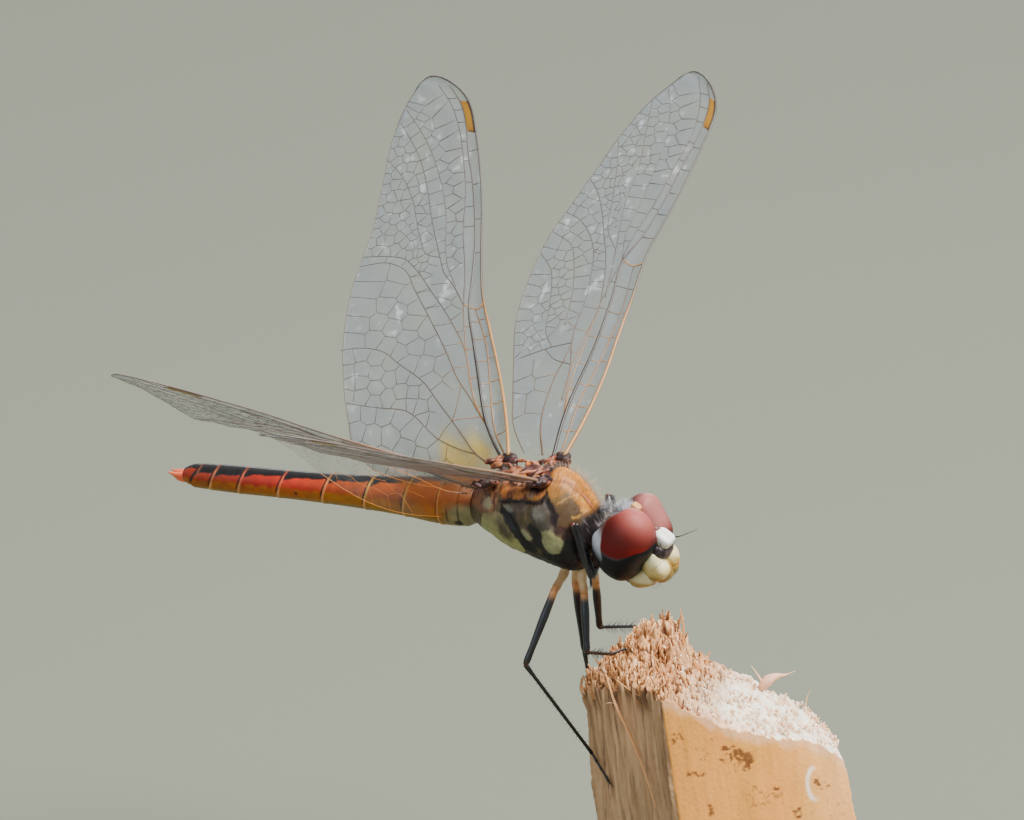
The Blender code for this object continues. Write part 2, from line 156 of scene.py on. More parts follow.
def grain(x, y, seed):
    """Value noise from 0 to 1: random heights at whole numbers, eased between them."""
    table = np.random.RandomState(seed).rand(128, 128)
    x, y = np.broadcast_arrays(np.asarray(x, float), np.asarray(y, float))
    across, up = np.floor(x).astype(int), np.floor(y).astype(int)
    s, t = x - across, y - up
    s, t = s * s * (3 - 2 * s), t * t * (3 - 2 * t)
    corner = [table[(across + i) % 128, (up + j) % 128] for i in (0, 1) for j in (0, 1)]
    return (corner[0] * (1 - t) + corner[1] * t) * (1 - s) + (corner[2] * (1 - t) + corner[3] * t) * s


def paint(under, over, share):
    """The second colour laid over the first by a share for each point."""
    share = np.asarray(share, float)[..., None]
    return under + (np.asarray(over, float) - under) * share


def spot(x, y, place, radii, lean=0.0, soft=0.12):
    """An ellipse's mask: 1 inside and 0 outside, eased over a soft edge."""
    angle = math.radians(lean)
    dx, dy = x - place[0], y - place[1]
    along = (dx * math.cos(angle) + dy * math.sin(angle)) / radii[0]
    across = (dy * math.cos(angle) - dx * math.sin(angle)) / radii[1]
    reach = np.sqrt(along**2 + across**2)
    return 1 - eased(1 - soft, 1 + soft, reach)


def line(x, y, path, half, soft=0.5):
    """A stripe's mask: the distance to the path, eased at half."""
    return 1 - eased(half * (1 - soft), half * (1 + soft), distance(x, y, path))


def patch(x, y, outline, soft=0.09):
    """The mask of a smooth closed outline: the distance to it, less than nothing outside,
    where the outline is crossed an even number of times, eased over a soft edge."""
    ring = curve([*outline, outline[0]], 5 * len(outline))
    odd = np.zeros(np.shape(x), bool)
    for (x0, y0), (x1, y1) in zip(ring[:-1], ring[1:]):
        odd ^= ((y0 > y) != (y1 > y)) & (x < (x1 - x0) * (y - y0) / (y1 - y0 + 1e-12) + x0)
    near = distance(x, y, ring)
    return eased(-soft, soft, np.where(odd, near, -near))


# ---------------------------------------------------------------- surfaces


class Shell:
    """Points in millimetres with faces, a tint of four numbers and a map place each."""

    def __init__(self, points, quads, tris, tint=(1, 1, 1, 1), place=None):
        self.points = np.asarray(points, float).reshape(-1, 3)
        self.quads = np.asarray(quads, int).reshape(-1, 4)
        self.tris = np.asarray(tris, int).reshape(-1, 3)
        tint = np.asarray(tint, float)
        if tint.shape[-1] == 3:
            tint = np.concatenate([tint, np.ones(tint.shape[:-1] + (1,))], axis=-1)
        self.tint = np.broadcast_to(tint.reshape(-1, 4), (len(self.points), 4))
        self.place = np.zeros((len(self.points), 2)) if place is None else np.asarray(place, float)

    def moved(self, frame_of):
        self.points = frame_of(self.points)
        return self


def join(shells):
    """One shell of several, each one's face numbers raised by the points before it."""
    starts = np.cumsum([0] + [len(shell.points) for shell in shells[:-1]])
    return Shell(
        np.concatenate([shell.points for shell in shells]),
        np.concatenate([shell.quads + start for shell, start in zip(shells, starts)]),
        np.concatenate([shell.tris + start for shell, start in zip(shells, starts)]),
        np.concatenate([shell.tint for shell in shells]),
        np.concatenate([shell.place for shell in shells]),
    )


def net(rows, columns):
    """Quads of a grid whose columns close on themselves."""
    row, column = np.meshgrid(np.arange(rows - 1), np.arange(columns), indexing="ij")
    after = (column + 1) % columns
    corners = (row * columns + column, row * columns + after,
               (row + 1) * columns + after, (row + 1) * columns + column)
    return np.stack(corners, axis=-1).reshape(-1, 4)


def sheath(rings, tint=(1, 1, 1, 1), ends=None):
    """A closed skin through rings of equal count, each end closed by a fan to a point."""
    rings = np.asarray(rings, float)
    rows, columns = rings.shape[:2]
    ends = (rings[0].mean(axis=0), rings[-1].mean(axis=0)) if ends is None else ends
    points = np.concatenate([rings.reshape(-1, 3), np.asarray(ends, float)])
    quads = net(rows, columns)
    column = np.arange(columns)
    after = (column + 1) % columns
    first, last = rows * columns, rows * columns + 1
    tris = np.concatenate([
        np.stack([np.full(columns, first), after, column], axis=1),
        np.stack([np.full(columns, last), (rows - 1) * columns + column, (rows - 1) * columns + after],
                 axis=1),
    ])
    a, b, c = (points[tris[:, k]] for k in range(3))
    volume = np.einsum("ij,ij->", a, np.cross(b, c))
    p, q, r, s = (points[quads[:, k]] for k in range(4))
    volume += np.einsum("ij,ij->", p, np.cross(q, r)) + np.einsum("ij,ij->", p, np.cross(r, s))
    if volume < 0:
        quads, tris = quads[:, ::-1], tris[:, ::-1]
    tint = np.asarray(tint, float)
    if tint.ndim == 3:
        whole = tint.reshape(-1, tint.shape[-1])
        tint = np.concatenate([whole, tint[0].mean(axis=0)[None], tint[-1].mean(axis=0)[None]])
    return Shell(points, quads, tris, tint)


def tubes(paths, radii, sides=6, tint=(1, 1, 1, 1), flat=1.0, place=None, reach=0.0015):
    """Round tubes, all of one count of rings: a circle of sides points carried square to
    each path, with a pointed fan a radius beyond each end. A tint may be one for all,
    one for each path or one for each ring."""
    paths = np.asarray(paths, float)
    paths = paths[None] if paths.ndim == 2 else paths
    many, rings = paths.shape[:2]
    radii = np.broadcast_to(np.asarray(radii, float), (many, rings))
    along = unit(np.gradient(paths, axis=1))
    whole = unit(paths[:, -1] - paths[:, 0])
    guide = np.where(np.abs(whole[:, 2:]) < 0.8, (0.0, 0.0, 1.0), (1.0, 0.0, 0.0))[:, None]
    one = unit(np.cross(along, guide))
    two = np.cross(along, one)
    angle = TAU * np.arange(sides) / sides
    ring = np.cos(angle)[:, None] * one[:, :, None] + flat * np.sin(angle)[:, None] * two[:, :, None]
    points = (paths[:, :, None] + radii[:, :, None, None] * ring).reshape(many, -1, 3)
    low = paths[:, 0] - along[:, 0] * radii[:, :1] * 0.6
    high = paths[:, -1] + along[:, -1] * radii[:, -1:] * 0.6
    points = np.concatenate([points, low[:, None], high[:, None]], axis=1)
    each = rings * sides + 2
    column = np.arange(sides)
    after = (column + 1) % sides
    fans = np.concatenate([
        np.stack([np.full(sides, each - 2), after, column], axis=1),
        np.stack([np.full(sides, each - 1), (rings - 1) * sides + column, (rings - 1) * sides + after],
                 axis=1),
    ])
    start = np.arange(many)[:, None, None] * each
    tint = np.asarray(tint, float)
    if tint.shape[-1] == 3:
        tint = np.concatenate([tint, np.ones(tint.shape[:-1] + (1,))], axis=-1)
    if tint.ndim == 2 and len(tint) == many and many > 1:
        tint = np.repeat(tint[:, None], rings, axis=1)
    tint = np.broadcast_to(tint, (many, rings, 4))
    full = np.concatenate([np.repeat(tint, sides, axis=1), tint[:, :1], tint[:, -1:]], axis=1)
    if place is not None:
        turned = TAU * np.arange(each) / max(sides, 3)
        patch = reach * np.stack([np.cos(turned), np.sin(turned)], axis=1)
        place = (np.asarray(place)[:, None] + patch[None]).reshape(-1, 2)
    return Shell(points, net(rings, sides)[None] + start, fans[None] + start, full.reshape(-1, 4), place)


def globe(place, radii, rows=40, columns=60, power=2.0):
    """A ball's rings from below to above: directions scaled so that the sum of each
    axis's share of its radius, raised to the power, is 1. Gives rings and both poles."""
    polar = np.linspace(0, math.pi, rows + 2)[1:-1][:, None]
    around = TAU * np.arange(columns) / columns
    way = np.stack(np.broadcast_arrays(np.sin(polar) * np.cos(around), np.sin(polar) * np.sin(around),
                                       -np.cos(polar) * np.ones(columns)), axis=-1)
    size = (np.abs(way / np.asarray(radii, float)) ** power).sum(axis=-1) ** (-1 / power)
    rings = np.asarray(place, float) + way * size[..., None]
    pole = np.array((0, 0, radii[2]), float)
    return rings, (np.asarray(place) - pole, np.asarray(place) + pole)


def ball(place, radii, tint, rows=24, columns=32, power=2.0, tilt=0.0):
    """A ball as a shell, turned about Y by its tilt."""
    rings, poles = globe((0, 0, 0), radii, rows, columns, power)
    shell = sheath(rings, tint, poles)
    shell.points = shell.points @ turn("Y", tilt).T + np.asarray(place, float)
    return shell


def add_piece(name, shell, material, covers=(), smooth=True):
    """Puts a shell into a mesh object at the origin, which rides on the one body."""
    mesh = bpy.data.meshes.new(name)
    quads, tris = shell.quads, shell.tris
    corners = np.concatenate([quads.ravel(), tris.ravel()])
    starts = np.concatenate([4 * np.arange(len(quads)), 4 * len(quads) + 3 * np.arange(len(tris))])
    mesh.vertices.add(len(shell.points))
    mesh.vertices.foreach_set("co", (shell.points * MM).astype(np.float32).ravel())
    mesh.loops.add(len(corners))
    mesh.loops.foreach_set("vertex_index", corners.astype(np.int32))
    mesh.polygons.add(len(starts))
    mesh.polygons.foreach_set("loop_start", starts.astype(np.int32))
    mesh.polygons.foreach_set("use_smooth", np.full(len(starts), smooth))
    mesh.update(calc_edges=True)
    tint = mesh.color_attributes.new("tint", "FLOAT_COLOR", "POINT")
    deep = np.concatenate([np.clip(shell.tint[:, :3], 0, 1) ** TINT_POWER, shell.tint[:, 3:]], axis=1)
    tint.data.foreach_set("color", deep.astype(np.float32).ravel())
    if shell.place.any():
        layer = mesh.uv_layers.new(name="OFBake")
        layer.data.foreach_set("uv", shell.place[corners].astype(np.float32).ravel())
    mesh.materials.append(material)
    piece = bpy.data.objects.new(name, mesh)
    bpy.context.scene.collection.objects.link(piece)
    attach(piece, "root")
    if covers:
        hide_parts(*covers)
    return piece


# ---------------------------------------------------------------- finishes


class Finish:
    """A material or a group under way: add() makes a node, sets it and links it."""

    def __init__(self, tree):
        self.tree = tree

    def add(self, kind, inputs=None, **settings):
        node = self.tree.nodes.new(kind)
        for key, value in settings.items():
            setattr(node, key, value)
        for key, value in (inputs or {}).items():
            socket = node.inputs[key]
            if isinstance(value, bpy.types.NodeSocket):
                self.tree.links.new(value, socket)
            else:
                socket.default_value = value
        return node

    def link(self, source, target):
        self.tree.links.new(source, target)


def new_group(name, inputs, outputs):
    """An empty shader node group with its sockets; gives the finish and both ends."""
    tree = bpy.data.node_groups.new(name, "ShaderNodeTree")
    for socket, kind, value in inputs:
        made = tree.interface.new_socket(socket, in_out="INPUT", socket_type=kind)
        made.default_value = value
    for socket, kind in outputs:
        tree.interface.new_socket(socket, in_out="OUTPUT", socket_type=kind)
    finish = Finish(tree)
    return finish, finish.add("NodeGroupInput"), finish.add("NodeGroupOutput")


def mottle_group():
    """Cloudy change of a colour and a fine height, both from noise in space."""
    if "Mottle" in bpy.data.node_groups:
        return bpy.data.node_groups["Mottle"]
    finish, start, end = new_group(
        "Mottle",
        (("Colour", "NodeSocketColor", (1, 1, 1, 1)), ("Scale", "NodeSocketFloat", 1000.0),
         ("Amount", "NodeSocketFloat", 0.15), ("Stretch", "NodeSocketVector", (1, 1, 1))),
        (("Colour", "NodeSocketColor"), ("Height", "NodeSocketFloat")),
    )
    place = finish.add("ShaderNodeTexCoord").outputs["Object"]
    stretched = finish.add("ShaderNodeVectorMath", {0: place, 1: start.outputs["Stretch"]},
                           operation="MULTIPLY")
    clouds = finish.add("ShaderNodeTexNoise", {
        "Vector": stretched.outputs[0], "Scale": start.outputs["Scale"], "Detail": 6.0, "Roughness": 0.6})
    swing = finish.add("ShaderNodeMath", {0: clouds.outputs["Fac"], 1: 0.5}, operation="SUBTRACT")
    part = finish.add("ShaderNodeMath", {0: swing.outputs[0], 1: start.outputs["Amount"]},
                      operation="MULTIPLY")
    factor = finish.add("ShaderNodeMath", {0: part.outputs[0], 1: 4.0, 2: 1.0}, operation="MULTIPLY_ADD")
    shaded = finish.add("ShaderNodeVectorMath", {0: start.outputs["Colour"], "Scale": factor.outputs[0]},
                        operation="SCALE")
    finish.link(shaded.outputs[0], end.inputs["Colour"])
    finish.link(clouds.outputs["Fac"], end.inputs["Height"])
    return finish.tree


def tinted(name, roughness, scale=1200.0, amount=0.12, bump=0.02, pits=9000.0, stretch=(1, 1, 1),
           **constants):
    """A shader that takes the piece's tint, mottles it and roughens its surface.

    Roughness swings with the mottle; bump is the height in millimetres of the mottle
    and of finer pits; constants are set on the shader's own sockets."""
    if name in bpy.data.materials:
        return bpy.data.materials[name]
    material = bpy.data.materials.new(name)
    material.use_nodes = True
    finish = Finish(material.node_tree)
    shader = material.node_tree.nodes["Principled BSDF"]
    tint = finish.add("ShaderNodeAttribute", attribute_name="tint")
    mottle = finish.add("ShaderNodeGroup", node_tree=mottle_group())
    for key, value in (("Scale", scale), ("Amount", amount), ("Stretch", stretch)):
        mottle.inputs[key].default_value = value
    finish.link(tint.outputs["Color"], mottle.inputs["Colour"])
    finish.link(mottle.outputs["Colour"], shader.inputs["Base Color"])
    worn = finish.add("ShaderNodeMapRange", {
        "Value": mottle.outputs["Height"], "From Min": 0.25, "From Max": 0.75,
        "To Min": roughness * 0.8, "To Max": min(1.0, roughness * 1.25)})
    finish.link(worn.outputs[0], shader.inputs["Roughness"])
    place = finish.add("ShaderNodeTexCoord").outputs["Object"]
    fine = finish.add("ShaderNodeTexNoise", {"Vector": place, "Scale": pits, "Detail": 2.0})
    both = finish.add("ShaderNodeMath", {0: fine.outputs["Fac"], 1: 0.4, 2: mottle.outputs["Height"]},
                      operation="MULTIPLY_ADD")
    relief = finish.add("ShaderNodeBump", {"Height": both.outputs[0], "Distance": bump * MM, "Strength": 1.0})
    finish.link(relief.outputs["Normal"], shader.inputs["Normal"])
    for key, value in constants.items():
        shader.inputs[key.replace("_", " ")].default_value = value
    return material


# ---------------------------------------------------------------- stage


class StageSettings(bpy.types.PropertyGroup):
    floor_colour: FloatVectorProperty(
        name="Floor colour", description="Colour of the plain floor", subtype="COLOR",
        default=(0.16, 0.172, 0.128), min=0.0, max=1.0)
    floor_size: FloatProperty(
        name="Floor size", description="Length of the floor's side", default=24.0, unit="LENGTH")
    key_power: FloatProperty(
        name="Key light", description="Power of the soft light from above", default=18.0, unit="POWER")
    camera_distance: FloatProperty(
        name="Camera distance", description="From the lens to the middle of the view", default=1.0,
        unit="LENGTH")


CAMERA_AZIMUTH = 28.5
CAMERA_ELEVATION = 14.0
CAMERA_LENS = 469.3
CAMERA_AIM = (-0.754, 4.569)  # right and up of the hinges' middle


def camera_axes():
    """Right, up and back unit vectors of the view."""
    azimuth, elevation = math.radians(CAMERA_AZIMUTH), math.radians(CAMERA_ELEVATION)
    right = np.array((math.cos(azimuth), math.sin(azimuth), 0.0))
    back = np.array((math.sin(azimuth) * math.cos(elevation), -math.cos(azimuth) * math.cos(elevation),
                     math.sin(elevation)))
    return right, np.cross(back, right), back


class DRAGONFLY_OT_stage(bpy.types.Operator):
    """Lay the floor, hang the soft lights and set up the camera"""

    bl_idname = "dragonfly.stage"
    bl_label = "Stage"

    def execute(self, context):
        settings = context.scene.dragonfly_stage
        half = settings.floor_size / 2
        mesh = bpy.data.meshes.new("floor")
        mesh.from_pydata([(-half, -half, 0), (half, -half, 0), (half, half, 0), (-half, half, 0)], [],
                         [(0, 1, 2, 3)])
        floor = bpy.data.objects.new("floor", mesh)
        context.scene.collection.objects.link(floor)
        material = bpy.data.materials.new("plain_floor")
        material.use_nodes = True
        finish = Finish(material.node_tree)
        shader = material.node_tree.nodes["Principled BSDF"]
        place = finish.add("ShaderNodeTexCoord").outputs["Object"]
        clouds = finish.add("ShaderNodeTexNoise", {"Vector": place, "Scale": 3.0, "Detail": 3.0})
        low = tuple(0.96 * part for part in settings.floor_colour)
        high = tuple(min(1.0, 1.04 * part) for part in settings.floor_colour)
        mixed = finish.add("ShaderNodeMix", {"Factor": clouds.outputs["Fac"]}, data_type="RGBA")
        mixed.inputs[6].default_value = (*low, 1)
        mixed.inputs[7].default_value = (*high, 1)
        finish.link(mixed.outputs[2], shader.inputs["Base Color"])
        shader.inputs["Roughness"].default_value = 0.9
        mesh.materials.append(material)
        world = context.scene.world or bpy.data.worlds.new("soft_studio")
        context.scene.world = world
        world.use_nodes = True
        sky = world.node_tree.nodes.get("Background") or world.node_tree.nodes.new("ShaderNodeBackground")
        nodes = world.node_tree.nodes
        output = nodes.get("World Output") or nodes.new("ShaderNodeOutputWorld")
        world.node_tree.links.new(sky.outputs[0], output.inputs[0])
        sky.inputs["Color"].default_value = (0.86, 0.92, 1.0, 1)
        sky.inputs["Strength"].default_value = 0.6
        right, up, back = camera_axes()
        target = (HINGE_CENTRE + right * CAMERA_AIM[0] + up * CAMERA_AIM[1]) * MM
        lights = (
            ("key", 0.5 * right + 0.85 * np.array((0, 0, 1)) + 0.25 * back, 0.8, 0.4, settings.key_power,
             (1.0, 0.97, 0.92)),
            ("fill", -0.8 * right + 0.3 * np.array((0, 0, 1)) + 0.8 * back, 1.3, 1.0,
             0.28 * settings.key_power, (0.9, 0.95, 1.0)),
            ("rim", 0.1 * right + 0.6 * np.array((0, 0, 1)) - 0.8 * back, 1.2, 0.7, 0.35 * settings.key_power,
             (1.0, 0.98, 0.95)),
        )
        for name, way, distance, size, power, colour in lights:
            light = bpy.data.lights.new(name, "AREA")
            light.shape = "DISK"
            light.size = size
            light.energy = power
            light.color = colour
            lamp = bpy.data.objects.new(name, light)
            lamp.location = target + unit(way) * distance
            lamp.rotation_euler = look(unit(way))
            context.scene.collection.objects.link(lamp)
        lens = bpy.data.cameras.new("camera")
        lens.lens = CAMERA_LENS
        lens.sensor_width = 36.0
        lens.clip_start = 0.05
        lens.clip_end = 40.0
        camera = bpy.data.objects.new("camera", lens)
        camera.location = target + back * settings.camera_distance
        camera.rotation_euler = look(back)
        context.scene.collection.objects.link(camera)
        context.scene.camera = camera
        return {"FINISHED"}


def look(back):
    """Euler angles of a lamp or camera whose back points along a direction."""
    return (math.acos(back[2]), 0.0, math.atan2(back[0], -back[1]))


# ---------------------------------------------------------------- stand


def turned(profile, sides=96, tint=(1, 1, 1, 1)):
    """A lathe's shape: each height and radius of the profile as a ring about Z."""
    height, radius = np.asarray(profile, float).T
    angle = TAU * np.arange(sides) / sides
    rings = np.stack(np.broadcast_arrays(radius[:, None] * np.cos(angle), radius[:, None] * np.sin(angle),
                                         height[:, None] * np.ones(sides)), axis=-1)
    return sheath(rings, tint)


def rounded_profile(corners, radius, count=6):
    """A profile's corners each eased by a quadratic curve of count points."""
    corners = np.asarray(corners, float)
    made = [corners[:1]]
    for before, corner, after in zip(corners[:-2], corners[1:-1], corners[2:]):
        cut_in = min(radius, np.linalg.norm(corner - before) * 0.45)
        cut_out = min(radius, np.linalg.norm(after - corner) * 0.45)
        start = corner + unit(before - corner) * cut_in
        end = corner + unit(after - corner) * cut_out
        t = np.linspace(0, 1, count)[:, None]
        made.append((1 - t) ** 2 * start + 2 * t * (1 - t) * corner + t**2 * end)
    made.append(corners[-1:])
    return np.concatenate(made)


class DRAGONFLY_OT_stand(bpy.types.Operator):
    """Turn the round base and the short rod that hold the stem"""

    bl_idname = "dragonfly.stand"
    bl_label = "Stand"

    def execute(self, context):
        _, base_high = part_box("stand_base")
        rod_low, rod_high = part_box("stand_rod")
        radius, height = base_high.x / MM, base_high.z / MM
        corners = ((0, 0.5), (0, radius - 0.6), (0.9, radius), (2.3, radius), (2.5, radius - 0.7),
                   (3.6, radius - 1.0),
                   (height, radius - 2.6), (height, 3.6), (height - 0.35, 3.5), (height - 0.35, 0.5))
        wood = tinted("ebonised_wood", 0.34, 160.0, 0.22, 0.03, 3000.0, (1.0, 9.0, 9.0), Coat_Weight=0.25,
                      Coat_Roughness=0.25)
        add_piece("stand_base_turned", turned(rounded_profile(corners, 0.35), 160, (0.035, 0.026, 0.022, 1)),
                  wood, ("stand_base",))
        thick, low, high = rod_high.x / MM, rod_low.z / MM, rod_high.z / MM
        corners = ((low, 0.3), (low, thick), (low + 1.2, thick), (low + 1.5, thick - 0.5),
                   (low + 2.0, thick - 0.6),
                   (high - 1.8, thick - 0.6), (high - 1.3, thick - 0.4), (high - 0.9, thick), (high, thick),
                   (high, 0.3))
        steel = tinted("brushed_steel", 0.3, 500.0, 0.05, 0.004, 8000.0, (1.0, 1.0, 30.0), Metallic=1.0)
        add_piece("stand_rod_turned", turned(rounded_profile(corners, 0.2), 72, (0.58, 0.57, 0.55, 1)),
                  steel, ("stand_rod",))
        return {"FINISHED"}


# ---------------------------------------------------------------- stem

STEM_TURN = 28.5
STEM_FOOT = -28.6
STEM_MIDDLE = 15.77
STEM_LEAN = 0.17
STEM_SPREAD = 0.006
STEM_LEFT = (-9.4, 0.0)
STEM_RIDGE = (-3.3, 7.0)
STEM_RIGHT = (9.4, 1.0)
STEM_BACK = 7.6
STEM_BOWS = (0.15, 0.9)
CUT_HEIGHT = -17.1
CUT_SLOPES = (-0.33, -0.12)
CUT_FALLS = (2.4, 2.0)
CREST_ACROSS = (-9.4, -8.1, -5.8, -4.4, -3.0, -1.7, -0.9, 0.2, 3.0, 5.0, 7.5, 9.4)
CREST_RISE = (-1.6, -1.4, 0.1, 1.5, 2.3, 2.8, 0.9, 0.0, -0.4, -0.6, 0.0, 0.2)
STRAW = (0.78, 0.435, 0.115)
CREAM = (0.95, 0.62, 0.32)
PITH = (1.0, 0.95, 0.84)
STAINS = (
    # (across and height, radii, lean) of the brown marks on the right face
    ((1.5, -20.3), (0.9, 0.35), -35), ((2.4, -20.9), (0.6, 0.55), 0), ((0.8, -20.9), (0.5, 0.35), 30),
    ((-2.5, -18.8), (0.45, 0.25), 15), ((-1.6, -21.8), (0.55, 0.22), -10), ((4.4, -23.4), (0.25, 0.25), 0),
    ((5.2, -25.4), (0.3, 0.2), 40), ((-1.0, -24.6), (0.25, 0.5), 0), ((7.35, -23.6), (0.26, 0.42), -15),
)
BARK = (0.12, 0.062, 0.036)


def arc_between(start, end, bulge, count):
    """Points from start towards end, bowed outward by a flattened sine."""
    start, end = np.array(start), np.array(end)
    along = (end - start) / np.linalg.norm(end - start)
    outward = np.array((-along[1], along[0]))
    share = np.arange(count) / count
    bow = bulge * np.sin(math.pi * share) ** 0.8
    return start + share[:, None] * (end - start) + bow[:, None] * outward


def cut_height(across, near):
    """Height of the broken end: a slope, a fall towards both sides, a crest that climbs
    from the left and drops on its right, and a rise at the front ridge."""
    fall = np.where(across < 0, CUT_FALLS[0], CUT_FALLS[1]) * (across / STEM_RIGHT[0]) ** 6
    crest = between(CREST_ACROSS, CREST_RISE, across)
    crest = crest * np.where(crest > 0, np.exp(-(((near + 4.5) / 4.5) ** 2)), 0.7)
    ridge = 1.0 * np.exp(-(((across + 3.3) / 2.5) ** 2)) * eased(1.0, 7.0, near)
    return CUT_HEIGHT + CUT_SLOPES[0] * across + CUT_SLOPES[1] * near - fall + crest + ridge


def in_stem(across, near, height):
    """The stem leans and spreads: its middle shifts and its section grows with depth."""
    middle = STEM_MIDDLE - STEM_LEAN * (height - STEM_FOOT)
    spread = 1 + STEM_SPREAD * (-20.0 - height)
    angle = math.radians(STEM_TURN)
    shift, out = middle + across * spread, near * spread
    x = shift * math.cos(angle) + out * math.sin(angle)
    y = shift * math.sin(angle) - out * math.cos(angle)
    return np.stack(np.broadcast_arrays(x, y, height), axis=-1) + HINGE_CENTRE


def stem_skin():
    """The section's outline drawn in by its grooves, carried from the foot to the cut,
    then drawn in step by step over the broken end, whose height is grainy."""
    counts = (84, 120, 110)
    outline = np.concatenate([
        arc_between(STEM_LEFT, STEM_RIDGE, STEM_BOWS[0], counts[0]),
        arc_between(STEM_RIDGE, STEM_RIGHT, STEM_BOWS[1], counts[1]),
        arc_between(STEM_RIGHT, STEM_LEFT, STEM_BACK, counts[2]),
    ])
    across, near = outline.T
    count = len(outline)
    walk = np.arange(count)
    outward = unit(np.stack([np.gradient(near), -np.gradient(across)], axis=1)) * -1
    rough = np.where(walk < counts[0], 1.0, np.where(walk < counts[0] + counts[1], 0.16, 0.5))
    share = np.linspace(0, 1, 130)[:, None]
    split = grain(walk * 0.42, share * 2.5, 3) + 0.5 * grain(walk * 0.9, share * 6, 4)
    frayed = 1 + 1.2 * eased(0.8, 1.0, share) * (rough > 0.9)
    groove = 0.42 * rough * (split - 0.75) * frayed * np.where(rough < 0.3, 0.4,
            1.0) + 0.1 * rough * (grain(walk * 2.0, share * 30, 9) - 0.5)
    jag = 0.9 * (grain(walk * 0.55, 0, 5) - 0.5) + 0.6 * (grain(walk * 1.3, 0, 6) - 0.5)
    jag = jag * np.where(walk < counts[0], 1.0, 0.35)
    x, n = across + groove * outward[:, 0], near + groove * outward[:, 1]
    height = STEM_FOOT + share * (cut_height(across, near) + jag - STEM_FOOT)
    side = in_stem(x, n, height)
    tone = grain(walk * 0.5, share * 3, 11)
    fine = grain(walk * 1.1, share * 5, 12)
    left = paint(np.array((0.56, 0.38, 0.225)), (0.74, 0.53, 0.34), tone)
    left = paint(left, BARK, 0.4 * eased(0.55, 0.9, fine) + 0.35 * eased(0.72, 0.9, split / 1.5))
    left = paint(left, (0.17, 0.085, 0.045), 0.6 * eased(0.8, 0.97, share) * eased(0.3, 0.7, fine))
    right = paint(np.array(STRAW), (0.9, 0.46, 0.14), grain(walk * 0.07, share * 2, 13))
    right = paint(right, CREAM, 0.6 * eased(4, 9.5, across) + 0.12 * (fine - 0.5))
    u = across + 0.9 * (grain(across * 2.4, height * 2.4, 14) - 0.5) + 0.4 * (grain(across * 7, height * 7,
            17) - 0.5)
    v = height + 0.9 * (grain(across * 2.4 + 40, height * 2.4, 14) - 0.5) + 0.4 * (grain(across * 7 + 40,
            height * 7, 17) - 0.5)
    stains = sum(spot(u, v, place, radii, lean, 0.4) for place, radii, lean in STAINS)
    stains = np.clip(stains, 0, 1) * eased(0.25, 0.45, grain(across * 5, height * 5, 18))
    stains += 0.6 * eased(0.8, 0.9, grain(u * 3.0, v * 3.0, 15)) * eased(0.6, 0.8,
            grain(across * 0.5, height * 0.5, 19))
    fore_face = (walk < counts[0] + counts[1]) * 1.0
    right = paint(right, (0.2, 0.085, 0.03), np.clip(stains, 0, 1) * 0.85 * fore_face)
    scar = spot(across, height, (6.85, -23.5), (0.55, 1.3), -8, 0.2)
    right = paint(right, (1.0, 0.92, 0.84),
                  0.9 * fore_face * scar * (1 - spot(across, height, (7.15, -23.55), (0.62, 1.2), -8, 0.2)))
    lip = eased(0.95, 0.25, cut_height(across, near) - height + 0.8 * (grain(across * 1.5, 0, 16) - 0.5))
    right = paint(right, (0.9, 0.6, 0.4), lip * 0.7)
    colour = np.where((walk < counts[0])[:, None], left, right)
    shrink = 1 - np.linspace(0, 1, 72)[1:-1][:, None] ** 1.1
    px, pn = across * shrink, near * shrink
    lumps = 0.9 * (grain(px * 1.3 + 40, pn * 1.3 + 40, 21) - 0.5) + 0.8 * (grain(px * 3.1, pn * 3.1 + 9,
            22) - 0.5)
    lumps += 0.3 * (grain(px * 6.3, pn * 6.3, 23) - 0.5)
    top = cut_height(px, pn) + jag * eased(0.75, 1.0, shrink) + lumps * eased(1.0, 0.97, shrink)
    lid = in_stem(px, pn, top)
    torn = eased(2.5, -2.0, px + 0.3 * pn)
    pit = grain(px * 4, pn * 4, 24)
    white = paint(np.array(PITH), (0.85, 0.52, 0.3), eased(0.5, 0.95, pit) * 0.7)
    white = paint(white, (0.9, 0.58, 0.36), eased(3.5, 5.5, pn) * 0.8)
    brown = paint(np.array((0.7, 0.42, 0.22)), (0.26, 0.13, 0.06), eased(0.45, 0.9, pit))
    lid_colour = paint(white, brown, torn)
    rings = np.concatenate([side, lid])
    tint = np.concatenate([colour, lid_colour])
    return sheath(rings, tint)


